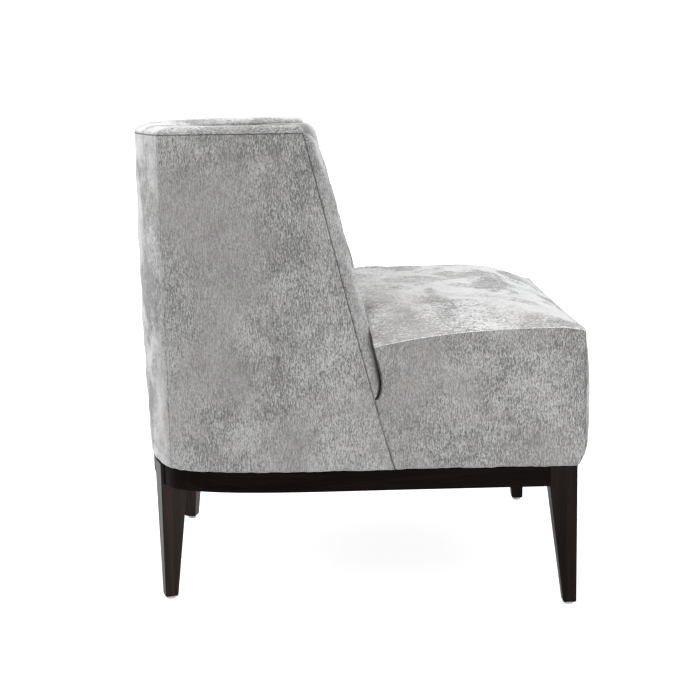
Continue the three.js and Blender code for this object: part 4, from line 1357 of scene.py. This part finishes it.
# Studio: a pale floor that fades into white, a large soft light over the chair, and the camera
# where the photographer stood.


def seen_rays(tree):
    """1 where the camera looks at a surface itself, in a reflection or through clear plastic."""
    path = add_node(tree, "ShaderNodeLightPath")
    seen = path.outputs["Is Camera Ray"]
    for kind in ("Is Glossy Ray", "Is Transmission Ray"):
        either = add_node(tree, "ShaderNodeMath", operation="ADD", use_clamp=True)
        tree.links.new(seen, either.inputs[0])
        tree.links.new(path.outputs[kind], either.inputs[1])
        seen = either.outputs[0]
    return seen


bpy.ops.mesh.primitive_plane_add(size=60)
floor = bpy.context.object
floor.name = "studio_floor"
floor_paint, tree, shader = new_finish(
    "pale studio floor", Roughness=0.9, **{
        "Base Color": (0.86, 0.86, 0.86, 1), "Specular IOR Level": 0.1,
    }
)
away = add_node(tree, "ShaderNodeVectorMath", operation="LENGTH")
tree.links.new(own_place(tree), away.inputs[0])
paler = spread(tree, away.outputs["Value"], 0.5, 2.6, 0.74, 0.9)
shader.inputs["Emission Color"].default_value = (1, 1, 1, 1)
tree.links.new(multiply(tree, seen_rays(tree), paler), shader.inputs["Emission Strength"])
floor.data.materials.append(floor_paint)

world = bpy.data.worlds.new("studio")
bpy.context.scene.world = world
world.use_nodes = True
tree = world.node_tree
sky = tree.nodes["Background"]
clear = add_node(tree, "ShaderNodeMix", data_type="FLOAT")
lighting_sky, seen_sky = 0.62, 1.05
clear.inputs[2].default_value = lighting_sky
clear.inputs[3].default_value = seen_sky
tree.links.new(seen_rays(tree), clear.inputs[0])
sky.inputs["Color"].default_value = (1, 1, 1, 1)
tree.links.new(clear.outputs[0], sky.inputs["Strength"])


def soft_light(name, place, aim, size, power):
    lamp = bpy.data.lights.new(name, "AREA")
    lamp.shape = "RECTANGLE"
    lamp.size, lamp.size_y = size
    lamp.energy = power
    made = bpy.data.objects.new(name, lamp)
    bpy.context.scene.collection.objects.link(made)
    made.location = place
    made.rotation_euler = (Vector(aim) - Vector(place)).to_track_quat("-Z", "Y").to_euler()


soft_light("overhead", (0.5, 0.5, 2.9), (0, 0, 0.4), (2.6, 2.6), 44)
soft_light("rear_window", (-0.6, 3.0, 1.5), (0, 0, 0.5), (2.2, 1.8), 34)
soft_light("front_fill", (-2.2, -2.4, 1.6), (0, 0, 0.4), (2.0, 1.8), 9)
soft_light("low_bounce", (-2.0, -1.0, 0.2), (-0.3, -0.2, 0.28), (1.6, 0.3), 20)

camera_place = (-2.615, 0.0759, 0.8449)
lens_length = 76.83
sensor_width = 36
turn, dip, lean = math.radians(1.449), math.radians(10.28), math.radians(-0.981)
look = Vector((math.cos(turn) * math.cos(dip), -math.sin(turn) * math.cos(dip), -math.sin(dip)))
right = Vector((-math.sin(turn), -math.cos(turn), 0))
up = right.cross(look)
camera_x = right * math.cos(lean) + up * math.sin(lean)
camera_y = up * math.cos(lean) - right * math.sin(lean)
lens = bpy.data.cameras.new("photo_camera")
lens.lens = lens_length
lens.sensor_width = sensor_width
camera = bpy.data.objects.new("photo_camera", lens)
bpy.context.scene.collection.objects.link(camera)
axes = Matrix((camera_x, camera_y, -look)).transposed().to_4x4()
camera.matrix_world = Matrix.Translation(camera_place) @ axes
bpy.context.scene.camera = camera
bpy.context.scene.view_settings.view_transform = "Standard"
